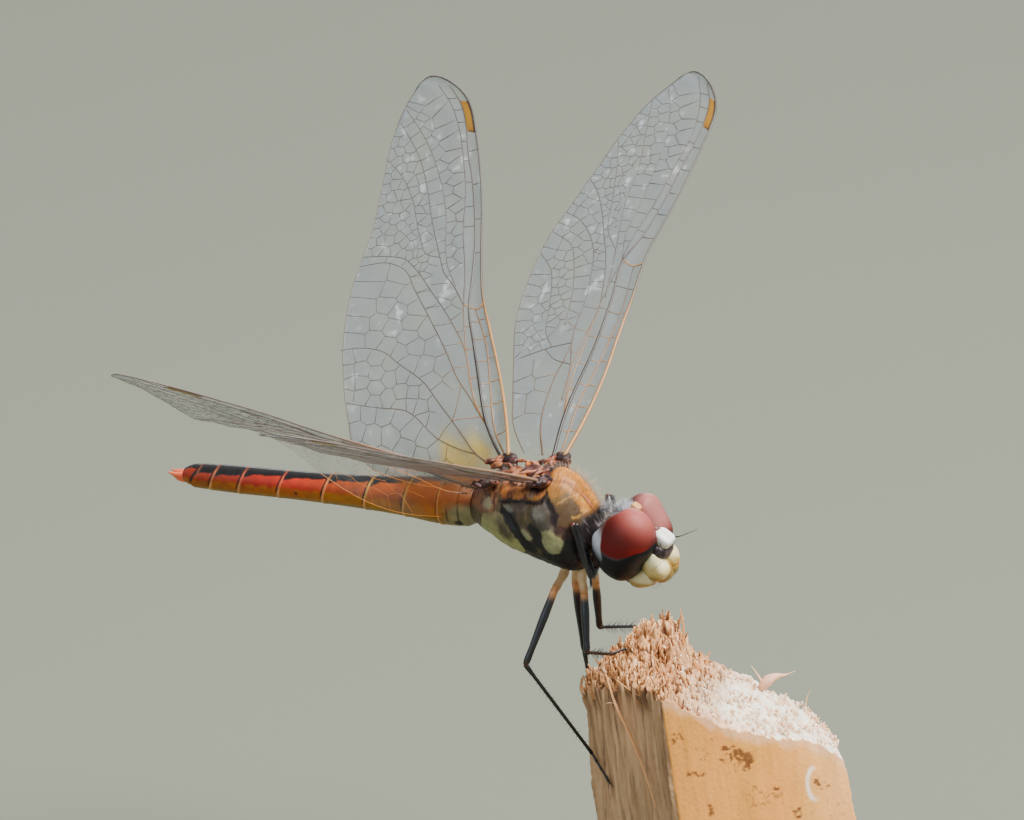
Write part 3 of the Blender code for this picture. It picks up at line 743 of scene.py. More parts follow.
def stem_fibres():
    """Broken fibres: short flat blunt blades that stand on the torn end and hang from
    its edge, with one long curled strip, splinters and one loose flake."""
    random = np.random.RandomState(7)
    many = 3400
    across = random.uniform(-9.2, 1.5, many)
    across = np.where(random.rand(many) < 0.12, random.uniform(0, 9.0, many), across)
    low = np.where(across < -3.3, (across + 9.4) * 7.0 / 6.1, 7.0 - (across + 3.3) * 6.0 / 12.7) - 0.25
    near = low - random.rand(many) ** 1.3 * (low + 6.0 * np.sqrt(np.clip(1 - (across / 9.4) ** 2, 0, 1)))
    torn = eased(3.0, -1.5, across + 0.3 * near)
    clump = grain(across * 1.6 + 20, near * 1.6 + 20, 8)
    keep = random.rand(many) < 0.25 + 0.75 * eased(0.35, 0.65, clump)
    across, near, torn, clump = across[keep], near[keep], torn[keep], clump[keep]
    many = len(across)
    length = (0.14 + 0.5 * random.rand(many) ** 2.0) * (0.3 + 0.9 * torn) * (0.3 + 1.3 * clump)
    lean = random.normal(0, 0.2,
                         (many, 2)) + 0.9 * np.stack([clump - 0.5,
                                                      grain(near * 1.3, across * 1.3 + 9, 8) - 0.5], axis=1)
    base = cut_height(across, near)
    t = np.linspace(0, 1, 4)
    curl = random.normal(0, 0.2, (many, 2))
    paths = in_stem(
        across[:, None] + length[:, None] * (lean[:, :1] * t + curl[:, :1] * t**2),
        near[:, None] + length[:, None] * (lean[:, 1:] * t + curl[:, 1:] * t**2),
        base[:, None] - 0.25 + (length[:, None] + 0.25) * t,
    )
    width = (0.1 + 0.17 * random.rand(many) ** 2)[:, None] * np.array((1.0, 1.0, 0.95, 0.7))
    tone = random.rand(many)
    colour = paint(np.array((0.72, 0.42, 0.2)), (0.3, 0.15, 0.07), eased(0.6, 1.0, tone))
    colour = paint(colour, PITH, (1 - torn) * 0.9)
    colour = paint(colour, (0.92, 0.66, 0.42), eased(0.5, 0.05, tone))
    blades = tubes(paths, width, 4, np.concatenate([colour, np.ones((many, 1))], axis=1), 0.45)
    crumbs = 1800
    across = random.uniform(-2.0, 9.1, crumbs)
    edge = 7.0 - (across + 3.3) * 6.0 / 12.7 - 0.2
    near = edge - random.rand(crumbs) * (edge + 6.2 * np.sqrt(np.clip(1 - (across / 9.4) ** 2, 0, 1)))
    height = cut_height(across, near)
    size = 0.06 + 0.14 * random.rand(crumbs)
    tip = random.normal(0, 0.6, (crumbs, 3)) * size[:, None] + np.array((0, 0, 1)) * size[:, None]
    start = in_stem(across, near, height - 0.05)
    paths = np.stack([start, start + tip], axis=1)
    shade = paint(np.array(PITH), (0.85, 0.55, 0.33), random.rand(crumbs))
    grit = tubes(paths, size[:, None] * np.array((0.7, 0.45)), 4,
                 np.concatenate([shade, np.ones((crumbs, 1))], axis=1))
    strips = []
    for points, widths, tone in (
        # (across, near beyond the face, height)
        (((-7.4, 2.9, -14.9), (-6.9, 3.9, -17.2), (-6.2, 4.5, -19.0), (-5.4, 5.4, -21.8), (-4.9, 6.0, -24.5)),
         (0.1, 0.22, 0.2, 0.14, 0.05), (0.78, 0.48, 0.26)),
        (((-6.9, 3.6, -17.1), (-7.3, 3.7, -17.0), (-7.8, 3.4, -17.2)), (0.18, 0.12, 0.03), (0.85, 0.6, 0.42)),
        (((-6.0, 4.3, -15.6), (-5.1, 5.2, -16.6), (-4.2, 6.2, -17.0)), (0.08, 0.07, 0.03), (0.55, 0.3, 0.14)),
        (((-6.6, 3.9, -15.2), (-5.2, 5.0, -16.0), (-3.6, 6.6, -16.2)), (0.07, 0.06, 0.02), (0.7, 0.42, 0.2)),
        (((-1.2, -3.0, -14.2), (-0.95, -3.1, -12.6), (-1.0, -3.1, -11.4)), (0.2, 0.16, 0.06),
         (0.75, 0.4, 0.18)),
        (((4.4, -4.6, -17.9), (4.1, -4.7, -17.1), (3.7, -4.9, -16.4)), (0.14, 0.1, 0.03), (0.9, 0.62, 0.4)),
        (((7.2, -3.6, -19.4), (7.5, -3.8, -18.7), (7.9, -3.9, -18.0)), (0.14, 0.1, 0.03), (0.9, 0.6, 0.38)),
        (((4.2, -4.6, -18.0), (4.8, -4.7, -17.5), (5.5, -4.8, -17.2), (6.2, -4.8, -17.1), (7.0, -4.8, -16.8)),
         (0.45, 0.6, 0.34, 0.1, 0.03), (0.92, 0.62, 0.46)),
        (((-9.3, 0.5, -15.9), (-9.5, 0.4, -16.8), (-9.3, 0.5, -17.6)), (0.2, 0.25, 0.1), (0.62, 0.4, 0.22)),
    ):
        points = curve(points, 14)
        spread = np.interp(np.linspace(0, 1, 14), np.linspace(0, 1, len(widths)), widths)
        strips.append(tubes(in_stem(*points.T), spread, 6, tone, 0.35 if spread.max() < 0.4 else 0.7))
    return join([blades, grit] + strips)


class DRAGONFLY_OT_stem(bpy.types.Operator):
    """Split the dry stem's faces and fray its broken end"""

    bl_idname = "dragonfly.stem"
    bl_label = "Stem"

    def execute(self, context):
        wood = tinted("dry_stem_skin", 0.62, 700.0, 0.2, 0.09, 3500.0, (1.0, 1.0, 0.16),
                      Specular_IOR_Level=0.35)
        add_piece("stem_skin", stem_skin(), wood, ("stem",))
        fray = tinted("stem_fibre", 0.7, 1500.0, 0.18, 0.03, 5000.0, (1.0, 1.0, 0.4), Specular_IOR_Level=0.3)
        add_piece("stem_fibres", stem_fibres(), fray, ("stem",))
        return {"FINISHED"}


# ---------------------------------------------------------------- wings

WING_STATIONS = (0.00, 0.07, 0.14, 0.22, 0.32, 0.42, 0.52, 0.66, 0.8, 0.93, 1.00)
TIP_CHORD = -2.2
TIP_START = 0.86
HINGE_AHEAD = 2.26
HINGE_ASIDE = 2.14
WING_POSE = {
    "wing_fore_left": (-1.8, 28.0, -6.6),
    "wing_fore_right": (-1.2, 29.0, -6.5),
    "wing_hind_left": (27.0, 35.5, -4.3),
    "wing_hind_right": (19.8, 35.1, -6.0),
}
WASHOUT_AT = (0.0, 0.3, 0.45, 0.6, 0.7, 0.8, 0.9, 1.0)
WASHOUT = {"wing_hind_right": (0.0, 1.0, 4.0, 4.5, 0.5, -3.0, -4.5, -3.5),
           "wing_fore_right": (4.0, 3.0, 2.0, 0.5, 0.0, 0.0, 0.0, 0.0)}
# Veins of each kind of wing: distance out along the span and ahead of the hinge line
FORE = {
    "length": 37.4,
    "lead": (0.2, 0.55, 0.75, 0.8, 0.6, 0.45, 0.22, 0.75, 1.1, 1.05, 0.5),
    "trail": (-3.0, -4.9, -5.9, -6.9, -8.1, -8.5, -8.45, -7.35, -6.1, -4.6, -3.6),
    "pterostigma": (32.1, 34.9),
    "nodus": 18.8,
    "subcosta": ((0.6, -0.2), (4.7, -0.45), (9.5, -0.15), (13.9, 0.0), (18.4, -0.5)),
    "radius": ((0, -0.75), (4.1, -1.15), (7.5, -1.1), (11.8, -1.0), (15.2, -1.2), (19, -1.5), (21.1, -0.9),
               (25.1, -0.2), (28.5, 0.1), (32, 0.4), (34.9, 0.1), (36.4, -0.6)),
    "sector": ((4.0, -1.2), (8, -1.8), (12, -1.9), (15.5, -1.95), (19, -1.65)),
    "first": ((19, -1.65), (21.5, -1.45), (25.1, -0.8), (28.5, -0.45), (32, -0.15), (35, -0.7), (36.9, -1.5)),
    "between": ((19, -1.65), (21.5, -2.2), (25, -2.0), (28.5, -2.0), (31.5, -2.2), (34, -2.9), (35.6, -3.6)),
    "second": ((15.4, -1.8), (17.6, -2.1), (19.9, -2.5), (23.8, -3.2), (28, -3.4), (31, -3.9), (34.3, -4.5)),
    "third": ((19.9, -2.5), (21.5, -3.7), (24.5, -4.4), (27.5, -5.1), (30.3, -5.9)),
    "media": ((4.0, -1.2), (8, -2.1), (12, -2.1), (14.0, -1.9), (16.1, -2.25), (18.7, -2.9), (21.3, -4.0),
              (23.6, -5.0), (25.6, -6.2), (26.4, -7.0)),
    "post": ((5.5, -1.9), (8.8, -2.35), (10.8, -2.95), (13, -3.25), (15.2, -3.3), (17.4, -3.65),
             (19.6, -4.25),
             (21.2, -5.2), (22.4, -6.4), (23.0, -7.7)),
    "cubitus": ((0.2, -1.6), (2.5, -2.6), (5.8, -3.15), (7.9, -3.2), (9.4, -3.0), (10.8, -2.95)),
    "branch": ((10.8, -2.95), (10.0, -4.9), (9.4, -5.8), (8.8, -6.8)),
    "lower": ((8.8, -2.35), (9.2, -3.9), (10.0, -4.9)),
    "hind": ((10.2, -4.4), (11.8, -5.5), (13.7, -5.9), (15.6, -6.35), (17.5, -7.1), (19.0, -8.5)),
    "middle": ((12.4, -4.1), (15.8, -4.65), (18.2, -5.4), (20.0, -6.3), (21.0, -8.1)),
}
HIND = {
    "length": 36.3,
    "lead": (0.3, 0.35, 0.35, 0.25, 0.00, -0.2, 0.15, 0.8, 1.05, 0.85, 0.3),
    "trail": (-4.2, -9.6, -12.0, -12.1, -11.8, -11.2, -10.2, -8.15, -6.55, -4.9, -3.9),
    "pterostigma": (30.1, 33.1),
    "nodus": 14.35,
    "subcosta": ((0.5, -0.4), (2.2, -0.75), (7.1, -0.65), (10.7, -0.5), (14.2, -0.95)),
    "radius": ((0, -0.7), (3.8, -1.4), (7.4, -1.45), (11, -1.45), (14.6, -1.4), (16.8, -0.9), (19.5, -0.35),
               (22.2, 0), (25.9, 0.2), (28.7, 0.2), (30.1, 0.3), (33, 0.15), (34.9, -0.5)),
    "sector": ((3.4, -1.35), (6, -2.0), (10.5, -2.1), (14.7, -1.8)),
    "first": ((14.7, -1.8), (17.9, -1.3), (21.6, -1.0), (25.1, -0.4), (27.9, -0.25), (30.7, -0.25),
              (33.1, -0.6),
              (35.3, -1.4)),
    "between": ((16.6, -2.2), (18.5, -2.6), (20.2, -2.6), (23.4, -2.2), (26.8, -2.3), (30.3, -2.9),
                (34.0, -4.2)),
    "second": ((14.7, -1.8), (16.8, -2.4), (17.9, -2.9), (19.6, -3.1), (22.9, -3.35), (26.2, -3.4),
               (29.2, -3.7),
               (33.0, -4.8)),
    "third": ((19.6, -3.1), (20.1, -4.0), (22.3, -4.5), (25.7, -4.7), (28.1, -5.3), (30.2, -6.4)),
    "media": ((3.4, -1.35), (5.5, -2.0), (8, -2.1), (10.5, -2.15), (13.8, -3.0), (16.9, -4.2), (19.3, -5.2),
              (20.4, -5.9), (21.0, -7.1), (21.6, -9.1)),
    "post": ((5.2, -1.95), (6.9, -2.5), (7.9, -2.9), (11.3, -3.7), (14.2, -4.5), (17.3, -5.4), (19.4, -6.0),
             (20.3, -7.0), (20.8, -9.4)),
    "cubitus": ((0.2, -1.6), (2.0, -2.9), (3.4, -3.4), (5.2, -4.1)),
    "branch": ((5.2, -4.1), (6.9, -4.85), (8.9, -5.7), (11.1, -7.4), (12.5, -8.5), (13.3, -10.2),
               (13.5, -11.7)),
    "lower": ((2.0, -2.9), (2.6, -3.75), (4.2, -5.5), (7.2, -7.6), (7.9, -9.2), (9.2, -12.0)),
    "hind": ((7.9, -2.9), (6.5, -3.4), (5.2, -4.1), (4.6, -5.0), (4.2, -5.5)),
    "middle": ((5.2, -4.1), (5.0, -3.2), (4.6, -1.7)),
}


class WingSettings(bpy.types.PropertyGroup):
    membrane_colour: FloatVectorProperty(
        name="Membrane colour", description="Colour of the clear membrane's haze", subtype="COLOR",
        default=(0.3, 0.33, 0.36), min=0.0, max=1.0)
    membrane_share: FloatProperty(
        name="Membrane opacity", description="Share of light that each face of the membrane stops",
        default=0.29, min=0.0, max=1.0, subtype="FACTOR")
    amber_colour: FloatVectorProperty(
        name="Amber patch", description="Colour of the patch at the base of the hindwings", subtype="COLOR",
        default=(0.7, 0.42, 0.02), min=0.0, max=1.0)
    stigma_colour: FloatVectorProperty(
        name="Wing spot", description="Colour of the pterostigma near each wing's tip", subtype="COLOR",
        default=(0.46, 0.27, 0.03), min=0.0, max=1.0)


def wing_edges(kind, share):
    """Leading and trailing edges at a share of the length, both closed round at the tip."""
    past = np.clip((share - TIP_START) / (1 - TIP_START), 0, 1)
    close = np.sqrt(np.clip(1 - past**2.2, 0, 1))
    ahead = TIP_CHORD + (between(WING_STATIONS, kind["lead"], share) - TIP_CHORD) * close
    behind = TIP_CHORD + (between(WING_STATIONS, kind["trail"], share) - TIP_CHORD) * close
    return ahead, behind


def wing_twist(kind, twist, share):
    """The pose's twist; a hindwing turns down at the root and a little up in the middle."""
    if kind is FORE:
        return twist + 0 * share
    root = 40.0 * np.exp(-share * HIND["length"] / 2.6)
    return twist + root - 6.0 * np.exp(-(((share - 0.42) / 0.22) ** 2))


def wing_point(name, out, ahead, height=0.0):
    """A place on a wing: out along its span, ahead along its turned chord, and above it.
    Folds near the leading edge, a cosine that dies away behind it, stiffen the wing."""
    kind = FORE if "fore" in name else HIND
    side = 1 if name.endswith("left") else -1
    sweep, rise = (math.radians(part) for part in WING_POSE[name][:2])
    span = np.array((-math.sin(sweep) * math.cos(rise), side * math.cos(sweep) * math.cos(rise),
                     math.sin(rise)))
    forward = unit(np.array((1.0, 0, 0)) - span * span[0])
    upward = np.cross(span, forward) * -side
    share = out / kind["length"]
    angle = np.radians(wing_twist(kind, WING_POSE[name][2], share) + np.interp(share, WASHOUT_AT,
            WASHOUT.get(name, (0.0,) * 8)))
    front = wing_edges(kind, share)[0]
    depth = np.clip(front - ahead, 0, None)
    fold = 0.16 * np.cos(math.pi * depth / 0.9) * np.exp(-depth / 1.3) * (1 - 0.5 * share)
    swell = 0.05 * np.sin(0.9 * out + 0.6 * ahead) * np.sin(1.3 * ahead) * eased(0, 2, depth)
    lift = height + fold + swell
    chord = np.cos(angle)[..., None] * forward + np.sin(angle)[..., None] * upward
    normal = np.cos(angle)[..., None] * upward - np.sin(angle)[..., None] * forward
    hinge = np.array((HINGE_AHEAD if kind is FORE else -HINGE_AHEAD, side * HINGE_ASIDE, 0.0))
    local = hinge + out[..., None] * span + ahead[..., None] * chord + lift[..., None] * normal
    return in_wings(local)


def membrane(name, settings):
    """The wing's plane between its edges, as a closed sheet 0.03 thick; the tint's
    fourth number is its opacity, higher over the amber patch at a hindwing's base, in
    the glints and along the trailing edge."""
    kind = FORE if "fore" in name else HIND
    share = np.concatenate([np.linspace(0.004, TIP_START, 170),
                            TIP_START + (1 - TIP_START) * np.sin(np.linspace(0.04, 0.995, 40) * math.pi / 2)])
    front, back = wing_edges(kind, share)
    many = 80
    across = np.linspace(0.004, 0.996, many)
    out = np.repeat((share * kind["length"])[:, None], many, axis=1)
    ahead = front[:, None] + (back - front)[:, None] * across
    above = wing_point(name, out, ahead, 0.015)
    below = wing_point(name, out, ahead, -0.015)
    rings = np.concatenate([above, below[:, ::-1]], axis=1)
    amber = 0 * ahead
    if kind is HIND:
        reach = 3.2 + 0.9 * np.sin(1.1 * ahead) + 0.6 * np.sin(2.3 * ahead + 1)
        amber = eased(reach + 1.4, reach - 1.8, out) * eased(-0.4, -1.6, ahead) * eased(-8.0, -5.0, ahead)
    gilt = np.array(settings.amber_colour[:]) * ((0.85, 0.5, 0.4) if name.endswith("right") else (1.0, 1.25,
            0.8))
    colour = paint(np.array(settings.membrane_colour[:]), gilt, amber)
    glints = eased(0.78, 0.92, grain(out * 1.8 + 5, ahead * 2.6, 32)) * eased(0.5, 0.75,
            grain(out * 0.35, ahead * 0.4, 33))
    glints = glints + 0.7 * eased(0.8, 0.93, grain(out * 2.6, ahead * 3.0, 34)) * eased(0.5, 0.95, across)
    colour = paint(colour, (0.95, 0.97, 1.0), np.clip(glints, 0, 1) * 0.45 * (1 - amber))
    haze = settings.membrane_share * (0.85 + 0.9 * (grain(out * 0.5, ahead * 0.6, 31) - 0.35)) + 0.34 * amber
    haze = haze * (0.35 + 0.65 * eased(0.0, 3.0, out)) + 0.07 * glints + 0.1 * eased(0.8, 0.95,
            across) * eased(0.35, 0.6, share)[:, None]
    if name == "wing_hind_right":
        haze = haze * (1 - 0.7 * eased(16, 8, out) * eased(-1.5, -3.5,
                                                           ahead) * (1 - amber)) * (1 - 0.3 * amber)
        strip = eased(-1.5, -0.7, ahead) * eased(17, 9, out)
        colour, haze = paint(colour, (0.6, 0.34, 0.22), strip), haze + 0.4 * strip
    if name == "wing_fore_right":
        band = eased(0.85, 0.3, share)[:, None] * eased(0.1, 1.6, out)
        streak = (0.65 + 0.7 * grain(ahead * 3.2, out * 0.5, 35))[..., None]
        colour, haze = paint(colour, np.array((0.33, 0.235, 0.26)) * streak, 0.85 * band), haze + 0.28 * band
    tint = np.concatenate([colour, haze[..., None]], axis=-1)
    return sheath(rings, np.concatenate([tint, tint[:, ::-1]], axis=1))


def edge_of(kind, low, high, count=60, front=False):
    """Part of a wing's margin between two distances out."""
    out = np.linspace(low, high, count)
    ahead = wing_edges(kind, out / kind["length"])[0 if front else 1]
    return np.stack([out, ahead], axis=1)


def nearest(points, path):
    """The nearest place on a path to each point, over all its stretches at once."""
    start, step = path[:-1], np.diff(path, axis=0)
    length = np.maximum((step**2).sum(axis=1), 1e-9)
    t = np.clip(((points[:, None] - start) * step).sum(axis=2) / length, 0, 1)
    spots = start + t[..., None] * step
    best = ((spots - points[:, None]) ** 2).sum(axis=2).argmin(axis=1)
    return spots[np.arange(len(points)), best]


def cells(first, second, size, seed, margin=None):
    """Walls of the cells between two veins. Seeds lie in rows between the veins, as many
    as the gap divided by the size; each is mirrored over all sides, so that the walls
    between mirror pairs fall on the veins; the others join the centres of the circles
    through each three neighbours."""
    random = np.random.RandomState(seed)
    first, second = curve(first, 60), curve(second, 60)
    last = margin if margin is not None else np.stack([first[-1], second[-1]])
    last = curve(last, 40)
    seeds = []
    u = 0.0
    row = 0
    length = (np.linalg.norm(np.diff(first, axis=0), axis=1).sum()
              + np.linalg.norm(np.diff(second, axis=0), axis=1).sum()) / 2
    while True:
        at = (u + 0.5 * size / length) * 59
        if at >= 59:
            break
        pair = [np.stack([np.interp(at, np.arange(60), side[:, k]) for k in (0, 1)]) for side in (first,
                second)]
        gap = np.linalg.norm(pair[1] - pair[0])
        if gap < 0.3 * size:
            u += 0.5 * size / length
            continue
        count = max(1, int(round(gap / size)))
        v = (np.arange(count) + 0.5) / count
        if count > 1:
            v = v + 0.25 * (row % 2 - 0.5) / count
        place = pair[0] + v[:, None] * (pair[1] - pair[0])
        bulge = np.stack([np.interp(v * 39, np.arange(40), last[:, k]) for k in (0, 1)], axis=1)
        bulge = bulge - (first[-1] + v[:, None] * (second[-1] - first[-1]))
        place = place + (at / 59) ** 3 * bulge + random.normal(0, 0.09 * size, (count, 2)) * (count > 1)
        seeds.append(place)
        u += size * (1.0 if count > 1 else 1.25) / length * (0.9 + 0.2 * random.rand())
        row += 1
    seeds = np.concatenate(seeds)
    outline = np.concatenate([first, last[1:-1], second[::-1]])
    sides = [first, second, last, np.stack([first[0], second[0] + 1e-4])]
    ghosts = [2 * nearest(seeds, side) - seeds for side in sides]
    every = np.concatenate([seeds] + ghosts)
    spots, _, faces, origin, _, _ = geometry.delaunay_2d_cdt([tuple(p) for p in every], [], [], 0, 1e-6)
    spots = np.array([tuple(p) for p in spots])
    real = np.array([min(ids) < len(seeds) if ids else False for ids in origin])
    faces = np.array(faces)
    a, b, c = (spots[faces[:, k]] for k in range(3))
    ab, ac = b - a, c - a
    double = 2 * (ab[:, 0] * ac[:, 1] - ab[:, 1] * ac[:, 0])
    double = np.where(np.abs(double) < 1e-9, 1e-9, double)
    ab2, ac2 = (ab**2).sum(axis=1), (ac**2).sum(axis=1)
    centre = a + np.stack([ac[:, 1] * ab2 - ab[:, 1] * ac2, ab[:, 0] * ac2 - ac[:, 0] * ab2],
                          axis=1) / double[:, None]
    edges = np.sort(np.concatenate([faces[:, [0, 1]], faces[:, [1, 2]], faces[:, [2, 0]]]), axis=1)
    owner = np.tile(np.arange(len(faces)), 3)
    order = np.lexsort((edges[:, 1], edges[:, 0]))
    edges, owner = edges[order], owner[order]
    same = (edges[1:] == edges[:-1]).all(axis=1)
    both = real[edges[:-1]].all(axis=1) & same
    start, end = centre[owner[:-1][both]], centre[owner[1:][both]]
    start, end = kept_inside(start, outline), kept_inside(end, outline)
    long = np.linalg.norm(end - start, axis=1)
    keep = (long > 0.12) & (long < 5 * size)
    return np.stack([start[keep], end[keep]], axis=1)


def kept_inside(points, outline):
    """Points outside a closed outline, by counting its crossings, go to its nearest place."""
    ring = np.concatenate([outline, outline[:1]])
    x0, y0, x1, y1 = *ring[:-1].T, *ring[1:].T
    px, py = points[:, :1], points[:, 1:]
    crosses = ((y0 > py) != (y1 > py)) & (px < (x1 - x0) * (py - y0) / (y1 - y0 + 1e-12) + x0)
    inside = crosses.sum(axis=1) % 2 == 1
    return np.where(inside[:, None], points, nearest(points, ring))


def rungs(first, second, stations):
    """Straight crossveins between two veins at distances out along the span."""
    stations = np.asarray(stations, float)
    made = []
    for path in (first, second):
        path = curve(path, 80)
        order = np.argsort(path[:, 0])
        made.append(np.stack([stations, np.interp(stations, path[order, 0], path[order, 1])], axis=1))
    made[1][:, 0] += 0.15
    return np.stack(made, axis=1)


def vein_tint(kind, out, ahead, warm):
    """Orange near the base and towards the leading edge, dark brown further out."""
    far = eased(0.28, 0.5, out / kind["length"] + 0.02 * (-ahead))
    dark = paint(np.array((0.07, 0.05, 0.042)), (0.2, 0.175, 0.16), 0.75 * far)
    return paint(dark, (0.56, 0.325, 0.13), np.clip((1 - far) * warm + 3 * np.clip(warm - 1.3, 0, 1), 0, 1))


def wing_veins(name):
    """All the veins of one wing as round tubes on its folded plane."""
    kind = FORE if "fore" in name else HIND
    length = kind["length"]
    fore = kind is FORE
    low = kind["pterostigma"][0]
    nodus = kind["nodus"]
    parts = []

    def hidden(out, ahead):
        """Where the right hindwing lies over the abdomen and its veins turn pale."""
        return (name == "wing_hind_right") * eased(13, 8, out) * eased(-1.6, -3.2, ahead)

    def main_vein(points, radii, warm, count=48):
        path = curve(points, count) if len(points) < count else np.asarray(points)
        radius = np.interp(np.linspace(0, 1, len(path)), np.linspace(0, 1, len(radii)), radii)
        over = hidden(path[:, 0], path[:, 1])
        colour = vein_tint(kind, path[:, 0], path[:, 1], warm + (1.2 - warm) * over * (warm < 1.2))
        if name.endswith("right"):
            colour = paint(paint(paint(colour, (0.3, 0.235, 0.215), 0.6 * (1 - over)), (0.46, 0.4, 0.36),
                                 over), (0.8, 0.36, 0.06), over * eased(6.5, 4.5, path[:, 0]))
            radius = radius * (0.75 + 0.1 * over)
        radius = radius * (1 - 0.45 * over)
        parts.append(tubes(wing_point(name, path[:, 0], path[:, 1]), radius, 7, colour[None]))

    lead = edge_of(kind, 0.15, length * 0.985, 110, True)
    tip = edge_of(kind, length * 0.985, length * 0.9995, 8, True)
    tail = edge_of(kind, length * 0.9995, length * 0.985, 8)
    trail = edge_of(kind, length * 0.985, 0.2, 110)
    whole = np.concatenate([lead, tip, tail, trail])
    main_vein(whole[:118], (0.17, 0.12, 0.105, 0.09, 0.075, 0.07, 0.09, 0.06), 1.2, 118)
    main_vein(whole[117:], (0.05, 0.035, 0.03, 0.03, 0.04), 0.25, 119)
    main_vein(kind["subcosta"], (0.08, 0.06, 0.05), 0.6)
    main_vein(kind["radius"], (0.12, 0.11, 0.085, 0.07, 0.055, 0.04), 0.0, 70)
    main_vein(kind["sector"], (0.05, 0.045, 0.045), 0.8)
    main_vein(kind["first"], (0.055, 0.05, 0.04, 0.03), 0.1, 60)
    main_vein(kind["between"], (0.03, 0.035, 0.03, 0.025), 0.1, 60)
    main_vein(kind["second"], (0.045, 0.04, 0.035, 0.03), 0.2, 60)
    main_vein(kind["third"], (0.033, 0.033, 0.025), 0.1)
    main_vein(kind["media"], (0.045, 0.045, 0.04, 0.03), 0.55, 60)
    main_vein(kind["post"], (0.045, 0.045, 0.04, 0.03), 0.3, 60)
    main_vein(kind["cubitus"], (0.08, 0.06, 0.045), 0.25)
    main_vein(kind["branch"], (0.04, 0.038, 0.03), 0.15)
    main_vein(kind["lower"], (0.04, 0.038, 0.03), 0.2)
    main_vein(kind["hind"], (0.033, 0.033, 0.03), 0.4)
    main_vein(kind["middle"], (0.033, 0.033, 0.03), 0.8)
    lead_to = float(wing_edges(kind, np.array(nodus / length))[0])
    joint = ((nodus, lead_to), (nodus - 0.25, -0.55), kind["sector"][-1])
    main_vein(joint, (0.085, 0.055, 0.055), 1.6, 12)

    bars = []
    front = edge_of(kind, 0.5, nodus, 40, True)
    if fore:
        bars.append(rungs(front, kind["subcosta"], (2.6, 4.9, 7.0, 9.3, 11.6, 13.9, 16.2)))
        bars.append(rungs(kind["subcosta"], kind["radius"], (2.6, 4.9, 7.0, 9.3, 11.6, 13.9, 16.4)))
        bars.append(rungs(edge_of(kind, nodus, low, 40, True), kind["radius"],
                          (21.2, 23.5, 25.6, 27.9, 30.1)))
        bars.append(rungs(kind["radius"], kind["first"], (21.8, 24.0, 26.4, 28.8, 30.6, 32.6, 34.0, 35.3)))
        bars.append(rungs(kind["radius"], kind["sector"], (6.4, 9.0, 11.5, 14.2, 16.8)))
        bars.append(rungs(kind["media"], kind["post"], (7.3, 9.8, 12.0, 14.2, 16.2, 18.0, 19.6)))
    else:
        bars.append(rungs(front, kind["subcosta"], (2.5, 5.2, 7.2, 9.3, 11.3, 12.9)))
        bars.append(rungs(kind["subcosta"], kind["radius"], (2.5, 5.2, 7.2, 9.3, 11.3, 12.9)))
        bars.append(rungs(edge_of(kind, nodus, low, 40, True), kind["radius"], (19.0, 22.0, 25.2, 28.3)))
        bars.append(rungs(kind["radius"], kind["first"], (21.6, 23.4, 25.6, 27.6, 29.4, 31.2, 32.4, 33.6)))
        bars.append(rungs(kind["radius"], kind["sector"], (5.4, 8.0, 10.6, 12.6)))
        bars.append(rungs(kind["media"], kind["post"], (9.3, 11.4, 13.4, 15.2, 16.8, 18.4)))
    end = {key: kind[key][-1][0] for key in ("first", "between", "second", "third", "media", "post", "branch",
                                             "lower")}
    bars.append(cells(kind["first"][0 if fore else 1:], kind["between"], 1.15, 41,
                      edge_of(kind, end["first"], end["between"])))
    bars.append(cells(kind["between"], kind["second"][2 if fore else 1:], 0.95, 42,
                      edge_of(kind, end["between"], end["second"])))
    bars.append(cells(kind["second"][3:], kind["third"], 0.95, 43,
                      edge_of(kind, end["second"], end["third"])))
    outer = kind["third"]
    bars.append(cells(outer, kind["media"][5:], 0.95, 44, edge_of(kind, outer[-1][0], end["media"])))
    if fore:
        bars.append(cells(kind["post"][2:], kind["middle"], 1.0, 45, edge_of(kind, end["post"], 21.0)))
        bars.append(cells(kind["middle"], kind["hind"], 1.0, 46, edge_of(kind, 21.0, 19.0)))
        bars.append(cells(kind["hind"], kind["branch"][1:], 1.1, 47, edge_of(kind, 19.0, end["branch"])))
        bars.append(cells(kind["cubitus"][1:5], edge_of(kind, 1.4, 8.6), 1.7, 48))
        bars.append(cells(kind["media"][4:], kind["post"][4:], 1.0, 51,
                          edge_of(kind, end["media"], end["post"])))
    else:
        bars.append(cells(kind["post"][2:], kind["branch"][1:], 1.5, 45,
                          edge_of(kind, end["post"], end["branch"])))
        bars.append(cells(kind["branch"][1:], kind["lower"][2:], 1.25, 46,
                          edge_of(kind, end["branch"], end["lower"])))
        bars.append(cells(kind["lower"][1:], edge_of(kind, 0.6, 8.6), 1.4, 47))
        bars.append(cells(kind["media"][4:], kind["post"][4:], 1.3, 51,
                          edge_of(kind, end["media"], end["post"])))
        bars.append(cells(kind["sector"][2:] + kind["second"][2:4], kind["media"][3:6], 1.2, 49))
    bars = np.concatenate(bars)
    t = np.linspace(0, 1, 3)[None, :, None]
    paths = bars[:, :1] + t * (bars[:, 1:] - bars[:, :1])
    out, ahead = paths[..., 0], paths[..., 1]
    warm = np.where(out / length < 0.4, 1.0, 0.2) * eased(-5.5, -1.5, ahead) + 0.12
    over = hidden(out, ahead)
    colour = vein_tint(kind, out, ahead, np.maximum(np.clip(warm, 0, 1), over))
    if name.endswith("right"):
        colour = paint(paint(paint(colour, (0.34, 0.27, 0.25), 0.6 * (1 - over)), (0.46, 0.4, 0.36), over),
                       (0.8, 0.36, 0.06), over * eased(6.5, 4.5, out))
